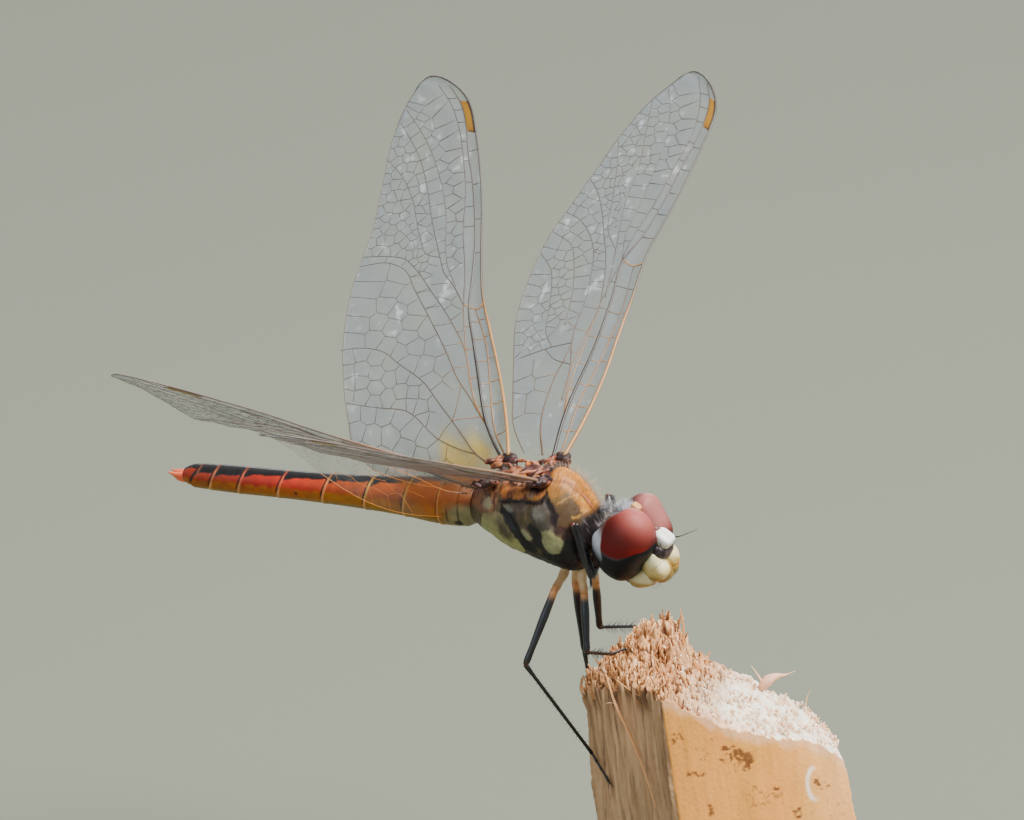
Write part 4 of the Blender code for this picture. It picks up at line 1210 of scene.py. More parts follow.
    size = np.where(ahead[:, :1] > -1.6, 0.036,
                    0.027) * (1 - 0.3 * over) * (0.65 if name.endswith("right") else 1.0)
    parts.append(tubes(wing_point(name, out, ahead), size, 5, colour))
    return join(parts)


def wing_spot(name, settings):
    """The pterostigma: a low cushion that fills the cell between the leading edge and
    the radius, its edges eased down by the square root of a half circle."""
    kind = FORE if "fore" in name else HIND
    low, high = kind["pterostigma"]
    share = np.linspace(0, 1, 26)
    across = np.linspace(0.02, 0.98, 9)
    radius = curve(kind["radius"], 200)
    out = low + share[:, None] * (high - low) + 0.5 * (across - 0.5)
    front = wing_edges(kind, out / kind["length"])[0]
    back = np.interp(out, radius[:, 0], radius[:, 1])
    ahead = front - 0.04 + (back - front + 0.02) * across
    rim = np.sqrt(np.clip(1 - (2 * across - 1) ** 2, 0,
                          1)) * np.sqrt(np.clip(1 - (2 * share[:, None] - 1) ** 2, 0, 1))
    above = wing_point(name, out, ahead, 0.02 + 0.05 * rim)
    below = wing_point(name, out, ahead, -0.02 - 0.05 * rim)
    rings = np.concatenate([above, below[:, ::-1]], axis=1)
    tint = paint(np.array(settings.stigma_colour[:]), BLACK, eased(0.28, 0.1, across) * 0.9)
    tint = paint(tint * np.ones((26, 1, 1)), (0.2, 0.08, 0.02), 0.5 * np.abs(2 * share - 1)[:, None] ** 4)
    return sheath(rings, np.concatenate([tint, tint[:, ::-1]], axis=1))


def membrane_finish():
    """A thin glossy film: its tint, its opacity from the tint's fourth number, and a
    fine crinkle that breaks the reflections up."""
    if "wing_membrane" in bpy.data.materials:
        return bpy.data.materials["wing_membrane"]
    material = bpy.data.materials.new("wing_membrane")
    material.use_nodes = True
    finish = Finish(material.node_tree)
    shader = material.node_tree.nodes["Principled BSDF"]
    tint = finish.add("ShaderNodeAttribute", attribute_name="tint")
    mottle = finish.add("ShaderNodeGroup", node_tree=mottle_group())
    mottle.inputs["Scale"].default_value = 900.0
    mottle.inputs["Amount"].default_value = 0.1
    finish.link(tint.outputs["Color"], mottle.inputs["Colour"])
    finish.link(mottle.outputs["Colour"], shader.inputs["Base Color"])
    lights = finish.add("ShaderNodeMapRange", {
        "Value": mottle.outputs["Height"], "From Min": 0.3, "From Max": 0.75, "To Min": 0.8, "To Max": 1.3})
    opacity = finish.add("ShaderNodeMath", {0: tint.outputs["Alpha"], 1: lights.outputs[0]},
                         operation="MULTIPLY")
    finish.link(opacity.outputs[0], shader.inputs["Alpha"])
    relief = finish.add("ShaderNodeBump",
                        {"Height": mottle.outputs["Height"], "Distance": 0.08 * MM, "Strength": 1.0})
    finish.link(relief.outputs["Normal"], shader.inputs["Normal"])
    shader.inputs["Roughness"].default_value = 0.28
    shader.inputs["Specular IOR Level"].default_value = 0.8
    return material


class DRAGONFLY_OT_wings(bpy.types.Operator):
    """Stretch each wing's membrane and lay its veins and its spot on it"""

    bl_idname = "dragonfly.wings"
    bl_label = "Wings"

    def execute(self, context):
        settings = context.scene.dragonfly_wings
        film = membrane_finish()
        vein = tinted("wing_vein", 0.4, 2500.0, 0.15, 0.006, 20000.0, Coat_Weight=0.1)
        stigma = tinted("wing_stigma", 0.35, 2500.0, 0.1, 0.01, 9000.0, Coat_Weight=0.2)
        for name in WING_POSE:
            add_piece(name + "_membrane", membrane(name, settings), film, (name,))
            add_piece(name + "_veins", wing_veins(name), vein, (name,))
            add_piece(name + "_spot", wing_spot(name, settings), stigma, (name,))
        return {"FINISHED"}


# ---------------------------------------------------------------- thorax

SHOULDER = 0.22
TRUNK = (
    # (station, top, underside, half width)
    (-3.9, -1.45, -4.35, 1.4),
    (-3.1, -0.85, -4.7, 2.1),
    (-2.00, -0.3, -5.05, 2.65),
    (-0.5, 0.00, -5.8, 3.05),
    (1.00, 0.3, -6.35, 3.25),
    (2.3, 0.6, -6.8, 3.3),
    (3.4, 0.5, -7.15, 3.25),
    (4.5, -0.2, -7.3, 2.95),
    (5.3, -1.25, -7.00, 2.35),
    (5.9, -2.45, -6.35, 1.65),
    (6.25, -3.3, -5.7, 1.05),
    (6.45, -3.45, -5.5, 0.9),
    (6.6, -3.7, -5.3, 0.7),
)
STRIPE_ONE = ((-0.6, -1.9), (0.3, -2.5), (1.2, -3.7), (2.1, -4.75))
STRIPE_THREE = ((3.15, -1.0), (3.7, -1.75), (4.0, -2.8))
CARINA = ((2.9, 0.35, -1.2), (3.65, 0.25, -1.1), (4.35, 0.0, -0.7), (4.75, -0.45, -0.6), (5.2, -1.05, -0.3),
          (5.65, -1.85, -0.1), (5.95, -2.65, 0.1))
MARKS = {
    # outlines on the flank: ahead and up of the hinges' middle
    "rear": ((-2.3, -2.7), (-1.8, -2.5), (-1.2, -2.3), (-0.6, -2.3), (-0.3, -2.65), (0.15, -3.2),
             (0.75, -3.8),
             (1.2, -4.3), (1.45, -4.85), (0.35, -5.6), (-0.9, -5.4), (-1.8, -5.0), (-2.6, -4.0)),
    "first": ((-0.75, -1.65), (-0.25, -1.9), (0.35, -2.05), (0.75, -2.4), (1.15, -2.95), (1.5, -3.5),
              (2.05, -4.0),
              (2.45, -4.45), (2.55, -4.9), (1.7, -5.1), (1.4, -4.75), (1.05, -4.15), (0.55, -3.55),
              (0.05, -2.9),
              (-0.3, -2.45), (-0.65, -2.15)),
    "fleck": ((-0.4, -1.6), (0.0, -1.6), (0.4, -1.85), (0.45, -2.05), (0.05, -2.0), (-0.25, -1.85)),
    "smoke": ((0.15, -1.5), (1.7, -1.2), (1.7, -1.6), (1.15, -2.05), (0.6, -2.05)),
    "drop": ((1.3, -3.2), (1.6, -3.2), (2.0, -3.45), (2.25, -3.7), (2.1, -4.0), (1.8, -3.95), (1.5, -3.6)),
    "grey": ((1.95, -1.55), (2.6, -1.3), (3.0, -1.25), (3.4, -1.9), (3.7, -2.6), (3.85, -2.95), (3.0, -3.1),
             (2.6, -3.0), (2.25, -2.55), (2.05, -2.05)),
    "third": ((2.85, -0.95), (3.45, -1.05), (3.85, -1.45), (4.15, -2.15), (4.15, -2.85), (3.75, -2.5),
              (3.5, -1.85),
              (3.2, -1.45)),
    "second": ((2.1, -2.7), (2.45, -2.8), (3.0, -3.0), (4.1, -3.1), (4.9, -3.45), (5.3, -3.95), (5.6, -5.0),
               (5.2, -6.6), (4.1, -6.6), (3.4, -6.0), (3.0, -5.2), (2.8, -4.7), (2.4, -4.4), (2.3, -3.9),
               (2.2, -3.4),
               (1.85, -3.05)),
    "oval": ((3.0, -3.1), (3.55, -2.95), (4.15, -3.15), (4.5, -3.45), (4.65, -4.05), (4.55, -4.65),
             (4.2, -4.9),
             (3.65, -4.85), (3.3, -4.45), (3.15, -3.85)),
    "band": ((-1.1, -0.9), (-0.4, 0.4), (1.45, 0.7), (2.55, 0.4), (2.9, -0.75), (1.85, -1.05), (0.1, -1.3),
             (-0.65, -1.4)),
    "wine": ((3.95, -2.75), (4.55, -2.75), (5.1, -3.0), (5.6, -2.95), (5.85, -2.95), (5.8, -3.65),
             (5.3, -3.8),
             (4.55, -3.65), (4.15, -3.3)),
}


def trunk_place(ahead, angle, out=0.0):
    """Egg-shaped sections, narrower above; out pushes a place away from the axis."""
    stations = [row[0] for row in TRUNK]
    top, under, half = (between(stations, [row[k] for row in TRUNK], ahead) for k in (1, 2, 3))
    middle, height = (top + under) / 2, (top - under) / 2
    aside = (half + out) * np.cos(angle) * (1 - SHOULDER * np.sin(angle))
    up = middle + (height + out) * np.sin(angle)
    return np.stack(np.broadcast_arrays(ahead, aside, up), axis=-1)


def carina_near(a, l, c):
    """The distance to the ridge down the front, which leans to the right above."""
    near = np.full(np.shape(a), 1e9)
    path = curve(CARINA, 24)
    for start, end in zip(path[:-1], path[1:]):
        step = end - start
        offset = np.stack([a - start[0], l - start[2], c - start[1]], axis=-1)
        way = np.array((step[0], step[2], step[1]))
        t = np.clip(offset @ way / (way @ way), 0, 1)
        near = np.minimum(near, np.linalg.norm(offset - t[..., None] * way, axis=-1))
    return near


def trunk_relief(ahead, angle):
    """Height of plates and seams: a ridge down the front, grooves along the dark
    stripes, low swellings between them and small wrinkles."""
    place = trunk_place(ahead, angle)
    a, side, c = place[..., 0], np.abs(place[..., 1]), place[..., 2]
    flank = eased(1.3, 2.0, side)
    near = carina_near(a, place[..., 1], c)
    ridge = 0.07 * np.exp(-((near / 0.1) ** 2)) - 0.06 * np.exp(-(((near - 0.26) / 0.15) ** 2))
    seams = 0.1 * sum(line(a, c, path, 0.16, 0.9) for path in (STRIPE_ONE, STRIPE_THREE))
    seams += 0.09 * line(a, c, ((-0.6, -1.45), (0.8, -1.32), (2.75, -1.05)), 0.12, 0.9)
    swell = 0.16 * patch(a, c, MARKS["oval"], 0.4) + 0.12 * patch(a, c, MARKS["grey"], 0.4)
    swell += 0.1 * patch(a, c, MARKS["rear"], 0.7) + 0.1 * patch(a, c, MARKS["drop"], 0.25)
    swell += 0.12 * spot(a, c, (1.9, -0.65), (0.5, 0.4), 0, 0.4) + 0.1 * spot(a, c, (0.4, -0.7), (1.0, 0.35),
            8, 0.5)
    collar = 0.12 * np.exp(-(((a - 5.75) / 0.18) ** 2)) - 0.1 * np.exp(-(((a - 5.35) / 0.14) ** 2))
    collar = collar * eased(-2.0, -3.2, c)
    back = eased(2.1, 1.5, side) * eased(-0.9, -0.4, c) * eased(3.2, 2.6, a)
    plates = back * (0.2 * (grain(a * 1.6 + 9, side * 1.4, 62) - 0.5) - 0.1)
    wrinkles = 0.05 * (grain(a * 5, c * 5 + side * 3, 63) - 0.5) + 0.04 * (grain(a * 2, c * 2 + side,
            61) - 0.5)
    return ridge + flank * (swell - seams) + collar + plates + wrinkles


def trunk_tint(a, l, c):
    """The thorax's colours: gold in front with a ridge of its own, a dark stripe at the
    shoulder and two on the side with pale plates between, an orange band under the
    wings and brown plates above. The marks' edges wander with noise."""
    side = np.abs(l)
    fine = grain(a * 5, c * 5 + side * 2, 64)
    broad = grain(a * 1.3 + 5, c * 1.3 + side, 65)
    x = a + 0.22 * (grain(a * 2.4, c * 2.4, 67) - 0.5) + 0.1 * (grain(a * 8, c * 8, 68) - 0.5)
    y = c + 0.22 * (grain(a * 2.4 + 30, c * 2.4, 67) - 0.5) + 0.1 * (grain(a * 8 + 30, c * 8, 68) - 0.5)
    mark = {key: patch(x, y, outline, 0.1) for key, outline in MARKS.items()}
    tint = paint(np.array((0.1, 0.075, 0.04)), (0.18, 0.135, 0.07), broad)
    tint = paint(tint, (0.24, 0.15, 0.085), eased(-1.5, -2.2, a) * eased(-3.0, -2.4, c))
    green = paint(np.array((0.33, 0.3, 0.165)), (0.41, 0.4, 0.19), eased(-3.0, -4.4, c + 0.3 * a))
    green = paint(green, (0.105, 0.08, 0.055),
                  patch(x, y, ((-0.6, -2.6), (-0.1, -3.0), (0.6, -3.9), (0.2, -4.2), (-0.7, -3.4)),
                        0.4) * 0.85)
    tint = paint(tint, green, mark["rear"])
    tint = paint(tint, (0.21, 0.155, 0.13), mark["smoke"])
    grey = paint(np.array((0.1, 0.082, 0.06)), (0.26, 0.245, 0.215),
                 patch(x, y, ((2.2, -1.6), (2.7, -1.4), (3.1, -1.9), (2.9, -2.4), (2.4, -2.2)), 0.45))
    tint = paint(tint, grey, mark["grey"])
    tint = paint(tint, (0.013, 0.011, 0.01), eased(-4.7, -5.0, c + 0.12 * a) * eased(1.6, 2.2, a))
    tint = paint(tint, BLACK, mark["second"])
    tint = paint(tint, BLACK, mark["first"])
    olive = paint(np.array((0.33, 0.32, 0.17)), (0.4, 0.4, 0.25), broad)
    tint = paint(tint, olive, mark["oval"])
    tint = paint(tint, (0.31, 0.3, 0.19), mark["drop"])
    tint = paint(tint, (0.27, 0.28, 0.22), mark["fleck"])
    front = eased(0.0, 0.25,
                  x - np.interp(-y, [-1.0, 0.95, 1.45, 2.15, 2.85, 4.5], [2.2, 3.2, 3.8, 4.12, 4.3, 4.9]))
    # The gold is darker lower down and lighter above: painted shade on the lower part of the front
    high = eased(-2.1, -0.5, c - 0.35 * (a - 4.3))
    gold = paint(np.array((0.15, 0.095, 0.045)), (0.23, 0.145, 0.045), high)
    gold = paint(gold, (0.4, 0.195, 0.022), eased(-0.95, -0.35, y - 0.3 * (x - 4.0)))
    gold = paint(gold, (0.54, 0.25, 0.018),
                 eased(1.3, 0.95, side + 0.2 * (fine - 0.5)) * eased(-3.0, -1.8, c) * 0.95)
    gold = paint(gold, (0.78, 0.355, 0.024), eased(0.1, 1.0, l) * 0.85)
    gold = paint(gold, (0.5, 0.2, 0.035), eased(5.3, 5.6, a + 0.25 * c) * 0.5)
    for path in (((4.0, -1.2), (4.5, -1.0), (5.0, -0.85)), ((5.1, -2.35), (5.4, -2.25), (5.7, -2.25)),
                 ((5.0, -0.85), (5.35, -1.5), (5.7, -2.25))):
        gold = paint(gold, (0.6, 0.36, 0.11), line(x, y, path, 0.055, 0.6) * eased(0.3, 0.6, side) * 0.75)
    near = carina_near(a, l, c)
    patchy = 0.35 + 0.65 * eased(0.3, 0.7, grain(a * 1.8, c * 1.8, 58))
    gold = paint(gold, (0.24, 0.08, 0.03), np.exp(-(((near - 0.15) / 0.08) ** 2)) * 0.95 * patchy)
    gold = paint(gold, (0.56, 0.26, 0.17), np.exp(-((near / 0.09) ** 2)) * 0.95 * patchy)
    tint = paint(tint, gold, front * eased(-3.7, -3.3, y + 0.2 * (grain(a * 4, side * 4, 60) - 0.5)))
    tint = paint(tint, (0.085, 0.035, 0.026), mark["wine"] * 0.95)
    tint = paint(tint, (0.04, 0.016, 0.014), mark["third"] * eased(1.2, 1.8, side))
    orange = paint(np.array((0.58, 0.27, 0.075)), (0.24, 0.095, 0.045),
                   eased(0.4, 0.72, fine * 0.4 + grain(a * 2.2, c * 2.2 + side, 59) * 0.6))
    tint = paint(tint, orange, mark["band"])
    tint = paint(tint, (0.035, 0.016, 0.013),
                 line(x, y, ((-0.9, -1.5), (0.3, -1.4), (2.75, -1.12), (3.1, -0.6)), 0.11, 0.5))
    tint = paint(tint, (0.42, 0.27, 0.18), spot(x, y, (1.84, -0.63), (0.3, 0.36), 0, 0.25))
    tail = eased(-0.9, -1.4, a) * eased(-2.7, -2.1, c)
    tint = paint(tint, paint(np.array((0.36, 0.19, 0.1)), (0.15, 0.065, 0.042), eased(0.4, 0.8, fine)), tail)
    tint = paint(tint, (0.36, 0.32, 0.22), spot(x, y, (-1.95, -1.87), (0.46, 0.4), 0, 0.4))
    above = eased(-0.75, -0.35, c) * eased(3.1, 2.7, a)
    plates = paint(np.array((0.22, 0.085, 0.05)), (0.045, 0.018, 0.018),
                   eased(0.35, 0.65, grain(a * 1.6 + 9, side * 1.4, 62)))
    plates = paint(plates, (0.55, 0.26, 0.15), eased(0.6, 0.85, fine) * 0.8)
    plates = paint(plates, (0.6, 0.25, 0.045), spot(a, side, (0.5, 0.6), (0.55, 0.5), 0, 0.4) * 0.8)
    tint = paint(tint, plates, above)
    collar = eased(5.45, 5.65, a - 0.16 * (c + 3.0)) * eased(-2.2, -2.8, c)
    tint = paint(tint, (0.03, 0.02, 0.022), collar)
    streaks = eased(0.7, 0.84, grain(a * 3 + c * 2.2, side * 9 - c * 2, 66))
    tint = paint(tint, (0.26, 0.2, 0.2), collar * streaks * 0.6)
    return tint * (0.86 + 0.28 * fine)[..., None]


def trunk_skin():
    """The thorax's sections carried from the rear to the neck, with the relief fading out at both ends."""
    ahead = np.linspace(-3.9, 6.6, 250)[:, None]
    angle = TAU * np.arange(200) / 200
    out = trunk_relief(ahead, angle) * eased(0, 0.25, ahead + 3.9) * eased(6.6, 6.4, ahead)
    place = trunk_place(ahead, angle, out)
    tint = trunk_tint(*(place[..., k] for k in range(3)))
    return sheath(in_body(place), tint)


def wing_roots():
    """Knobs and plates that join each wing to the back, in the wings' frame, and the
    ridges between them; noise makes their surfaces uneven."""
    parts = []
    lumps = (
        # ((ahead, out, up) of the hinge, radii, tilt, colour)
        ((0.15, 0.05, 0.05), (0.52, 0.5, 0.36), 0, (0.065, 0.03, 0.028)),
        ((0.55, -0.25, -0.05), (0.34, 0.4, 0.3), 0, (0.16, 0.06, 0.045)),
        ((-0.2, 0.45, 0.1), (0.42, 0.34, 0.22), 20, (0.12, 0.055, 0.045)),
        ((-0.75, -0.05, 0.0), (0.48, 0.42, 0.22), -10, (0.4, 0.16, 0.085)),
        ((-0.95, 0.4, 0.02), (0.4, 0.3, 0.14), -15, (0.5, 0.27, 0.17)),
        ((-1.55, -0.15, -0.1), (0.5, 0.36, 0.2), -10, (0.2, 0.085, 0.055)),
        ((0.0, -0.55, -0.3), (0.95, 0.5, 0.34), 0, (0.26, 0.095, 0.045)),
        ((0.4, -0.9, -0.15), (0.45, 0.35, 0.3), 15, (0.055, 0.022, 0.02)),
        ((-0.6, -0.85, -0.12), (0.55, 0.3, 0.26), -20, (0.4, 0.17, 0.06)),
    )
    for name in WING_POSE:
        side = 1 if name.endswith("left") else -1
        hinge = np.array((HINGE_AHEAD if "fore" in name else -HINGE_AHEAD, side * HINGE_ASIDE, 0.0))
        for (ahead, out, up), radii, tilt, colour in lumps:
            place = hinge + np.array((ahead, side * out, up))
            parts.append(ball(place, radii, (*colour, 1), 22, 28, 2.2, tilt))
    ridges = (
        (((1.7, 0.1, 0.1), (0.9, 0.7, 0.3), (-0.2, 1.3, 0.2), (-1.3, 1.9, 0.15)), 0.12, (0.52, 0.25, 0.15)),
        (((2.6, 0.0, 0.05), (2.1, 0.9, 0.28), (1.9, 1.7, 0.25)), 0.11, (0.4, 0.18, 0.11)),
        (((-0.2, 0.0, 0.0), (-1.2, 0.5, 0.1), (-2.0, 1.2, 0.1)), 0.11, (0.32, 0.13, 0.07)),
    )
    for points, radius, colour in ridges:
        for side in (1, -1):
            path = curve(np.array(points) * (1, side, 1), 40)
            parts.append(tubes(path, radius, 10, (*colour, 1)))
    for place, radii, colour in (
        ((0.9, 0.0, 0.05), (0.85, 0.75, 0.34), (0.14, 0.055, 0.042)),
        ((-0.7, 0.0, -0.05), (0.6, 0.7, 0.28), (0.32, 0.13, 0.05)),
        ((-2.0, 0.0, -0.3), (0.6, 0.8, 0.28), (0.11, 0.05, 0.038)),
        ((0.35, 1.05, 0.02), (0.55, 0.35, 0.28), (0.55, 0.23, 0.045)),
        ((0.35, -1.05, 0.02), (0.55, 0.35, 0.28), (0.55, 0.23, 0.045)),
    ):
        parts.append(ball(place, radii, (*colour, 1), 22, 32, 2.3))
    whole = join(parts)
    x, y, z = whole.points.T
    swing = [grain(x * 2.8 + z * 1.7 + shift, y * 2.8 - z * 1.3 + shift, 55) - 0.5 for shift in (9, 31, 53)]
    whole.points = whole.points + 0.22 * np.stack(swing, axis=1)
    tone = 0.55 + 0.9 * grain(x * 3.5 + z * 2, y * 3.5 - z, 56)
    shades = whole.tint.copy()
    shades[:, :3] = np.clip(shades[:, :3] * tone[:, None], 0, 1)
    whole.tint = shades
    return whole.moved(in_wings)


class DRAGONFLY_OT_thorax(bpy.types.Operator):
    """Shape the thorax's plates and seams and the knobs at the wings' roots"""

    bl_idname = "dragonfly.thorax"
    bl_label = "Thorax"

    def execute(self, context):
        shell = tinted("thorax_cuticle", 0.5, 1400.0, 0.13, 0.03, 9000.0, Specular_IOR_Level=0.4,
                       Coat_Weight=0.05, Coat_Roughness=0.4)
        add_piece("thorax_skin", trunk_skin(), shell, ("thorax", "neck"))
        add_piece("wing_roots", wing_roots(), shell, ("thorax",))
        return {"FINISHED"}


# ---------------------------------------------------------------- head

EYE_ASIDE = 1.32
EYE_RADII = (2.35, 2.08, 2.85)
RED_EDGE = ((-2.4, -0.95, -0.44, 0.4, 1.07, 1.46, 1.82, 2.06, 2.2),
            (-0.05, -0.27, -0.31, -0.18, 0.23, 0.55, 0.72, 0.89, 1.15))
RED_BACK = ((-0.8, 0.27, 0.88, 1.64, 2.3, 2.8), (-0.8, -1.22, -1.52, -1.63, -1.5, -1.2))
EYE_RIM = ((-1.00, 0.21, 1.05, 1.56, 2.4), (-2.4, -2.24, -2.05, -1.9, -1.6))


class HeadSettings(bpy.types.PropertyGroup):
    eye_red: FloatVectorProperty(
        name="Eye red", description="Deep colour of the eyes' middle", subtype="COLOR",
        default=(0.17, 0.019, 0.013), min=0.0, max=1.0)
    # Painted sheen: the eyes' red lightened to a dusty pink towards the top, standing for light that falls on
    # them from above
    eye_painted_sheen: FloatVectorProperty(
        name="Eye bloom", description="Dusty colour towards the top of the eyes", subtype="COLOR",
        default=(0.5, 0.185, 0.16), min=0.0, max=1.0)


def eye(side, settings):
    """An ellipsoid cut flat on the plane between the eyes, drawn back in front below
    and swollen behind below; red above a curved line, lightened towards the top by a
    painted sheen, black under it with a faint painted blue-green sheen low behind, and a pale
    crescent with a dark rim behind."""
    rings, (bottom, top) = globe((0, 0, 0), EYE_RADII, 170, 200)
    a, c = rings[..., 0].copy(), rings[..., 2].copy()
    out = side * rings[..., 1] + EYE_ASIDE
    inner = eased(2.2, 0.6, out)
    rings[..., 0] = a * (1 - 0.2 * eased(0.9, -0.9, c) * eased(0, 0.6, a) + 0.15 * eased(1.2, -0.4,
            c) * eased(0, -0.6, a))
    rings[..., 2] = c * (1 + 0.07 * eased(0, 2.4, c) + 0.05 * eased(-1.0, -2.4,
            c)) - 1.1 * inner * eased(-0.5, -1.7, a) * eased(0.4, 1.6, c)
    rings[..., 2] -= (0.75 if side > 0 else 0.0) * eased(-0.2, 1.4, a) * eased(-0.3, 2.6, c)
    rings[..., 1] = side * np.maximum(out, 0.01)
    poles = (bottom * (1, 1, 1.05) + (0, side * EYE_ASIDE, 0), top * (1, 1, 1.07) + (0, side * EYE_ASIDE, 0))
    wave = 0.07 * (grain(a * 2 + 7, c * 2 + 7, 71) - 0.5)
    low = c - np.interp(a, *RED_EDGE) + wave
    back = a - np.interp(c, *RED_BACK) - 0.45 * inner * eased(1.0, 2.3, c) + wave
    # Painted sheen: the red lightens to a dusty pink towards the top of each eye, where light falls from
    # above; the left eye, seen at a grazing angle, gets a pinker sheen
    painted_sheen = eased(0.9, 3.1, c + 0.3 * a) ** (1.5 if side > 0 else 1.9)
    red = paint(np.array(settings.eye_red[:]),
                np.array(settings.eye_painted_sheen[:]) * ((1, 1.3, 1.35) if side > 0 else (1, 1, 1)), painted_sheen)
    red = paint(red, (0.24, 0.006, 0.004), eased(1.3, 0.2, c) * 0.85)
    red = paint(red, (0.34, 0.016, 0.01), eased(0.6, 1.5, a) * eased(1.3, 0.5, c) * 0.8)
    red = paint(red, (0.11, 0.022, 0.018), eased(1.85, 2.25, a) * eased(2.2, 1.6, c) * 0.8)
    tint = paint(np.array((0.022, 0.02, 0.024)), red, eased(-0.06, 0.09, low))
    dusty = np.exp(-(((low + 0.04) / 0.13) ** 2)) * eased(1.4, 0.3, a)
    tint = paint(tint, (0.19, 0.135, 0.155), dusty * 0.6)
    crescent = eased(0.07, -0.13, back) * eased(-1.35, -0.45, c + 0.25 * (a + 1.5))
    pale = paint(np.array((0.64, 0.67, 0.71)), (0.22, 0.13, 0.13), eased(0.3, 1.3, c))
    pale = paint(pale, (0.2, 0.21, 0.24), eased(0.2, -0.9, c) * 0.7)
    tint = paint(tint, pale, crescent)
    tint = paint(tint, (0.03, 0.018, 0.02),
                 eased(0.04, -0.05, a - np.interp(c, *EYE_RIM)) * eased(-0.6, 0.0, c))
    # Painted sheen: a faint blue-green reflection on the black low at the back of the eye
    tint = paint(tint, (0.04, 0.06, 0.05), spot(a, c, (-1.3, -2.5), (0.9, 0.35), 0, 0.9) * 0.6)
    return sheath(rings, tint, poles).moved(in_head)


FACE = (
    # (node, place, radii, tilt, power)
    ("frons", (2.27, 0.0, 1.02), (0.78, 0.74, 0.51), 16, 3.4),
    ("clypeus", (2.16, 0.0, 0.08), (0.96, 1.22, 0.74), 0, 2.2),
    ("labrum", (2.28, -0.66, -0.98), (0.94, 0.86, 1.34), -42, 2.9),
    ("labrum", (2.52, 0.62, -1.1), (1.12, 0.86, 1.4), -10, 2.5),
    ("labium", (1.72, -0.6, -2.36), (1.34, 0.88, 0.82), -34, 2.5),
    ("labium", (1.45, 0.6, -2.72), (1.15, 0.8, 0.62), -20, 2.3),
    ("labium", (1.00, 0.0, -2.62), (1.62, 1.1, 0.98), -15, 2.1),
    ("labrum", (2.55, -0.02, -1.45), (0.98, 0.95, 1.2), -24, 2.4),
)


def face_tint(number, a, l, c):
    """White above, with painted shade on the frons's lower part and groove, and gold below
    with a painted highlight on the lobes' tops; the clypeus is dark with a painted highlight, and the chin
    brown.
    """
    cloud = grain(a * 2.2, l * 2.2 + c * 2.2, 73)
    if number == 0:
        # The frons: its own white on top; the cream of its lower part is painted shade on the facets that
        # face down
        tint = paint(np.array((0.8, 0.74, 0.56)), (0.95, 0.94, 0.9),
                     eased(0.7, 1.15, c + 0.15 * (cloud - 0.5)))
        tint = paint(tint, (0.5, 0.3, 0.15), eased(0.72, 0.45, c) * 0.8)
        # A greyer line down the middle is painted shade in the frons's groove
        return paint(tint, (0.72, 0.62, 0.48), eased(0.08, 0.02, np.abs(l)) * 0.3)
    if number == 1:
        tint = paint(np.array((0.05, 0.026, 0.024)), (0.14, 0.095, 0.105),
                     eased(0.5, 0.8, grain(a * 4, l * 4 + c, 72)))
        # A pinkish spot on the clypeus is a painted highlight
        return paint(tint, (0.2, 0.13, 0.13), spot(l, c, (-0.2, 0.1), (0.5, 0.3), 0, 0.5) * 0.5)
    if number in (2, 3, 7):
        rise = c + {2: 0.1, 3: -0.3, 7: -0.5}[number] + 0.3 * (cloud - 0.5)
        # The lobes' pale, nearly white tops are a painted highlight over their cream and gold colour
        low, high = ((0.7, 0.54, 0.25), (0.98, 0.92, 0.66)) if number == 2 else ((0.58, 0.38, 0.1),
                (0.98, 0.88, 0.6))
        tint = paint(np.array(low), high, eased(-1.2, -0.35, rise) * (0.75 + 0.5 * (cloud - 0.5)))
        tint = paint(tint, (0.4, 0.28, 0.085), eased(-1.2, -1.9, rise))
        tint = paint(tint, (0.3, 0.27, 0.1), eased(2.3, 1.5, a) * eased(-0.6, -1.2, c) * 0.5)
        return paint(tint, (0.26, 0.11, 0.035), eased(-2.15, -2.4, c) * 0.8)
    if number in (4, 5):
        tint = paint(np.array((0.52, 0.36, 0.14)), (0.8, 0.7, 0.46), eased(-2.9, -2.45, c - 0.2 * (a - 1.4)))
        return paint(tint, (0.13, 0.055, 0.018), eased(-3.0, -3.35, c) + 0.4 * eased(2.5, 2.8, a))
    return paint(np.array((0.085, 0.042, 0.012)), (0.2, 0.1, 0.035), cloud)


def face_parts():
    """The face's lobes by node, each a swollen ball in the head's frame."""
    parts = {}
    for number, (node, place, radii, tilt, power) in enumerate(FACE):
        rings, poles = globe((0, 0, 0), radii, 80, 100, power)
        way = unit(rings)
        if number == 0:
            rings = rings * (1 - 0.012 * np.exp(-((rings[..., 1] / 0.07) ** 2)) * eased(0.0, 0.4,
                    way[..., 2]))[..., None]
        if number in (2, 3, 7):
            crease = np.exp(-(((way[..., 2] + 0.35 - 0.3 * way[..., 0]) / 0.07) ** 2))
            rings = rings * (1 - 0.035 * crease - 0.04 * (grain(way[..., 1] * 3, way[..., 2] * 3,
                    78) - 0.5))[..., None]
        move = turn("Y", tilt).T
        rings = rings @ move + np.array(place)
        tint = face_tint(number, *(rings[..., k] for k in range(3)))
        parts.setdefault(node,
                         []).append(sheath(rings, tint,
                                           tuple(pole @ move + np.array(place) for pole in poles)))
    return parts


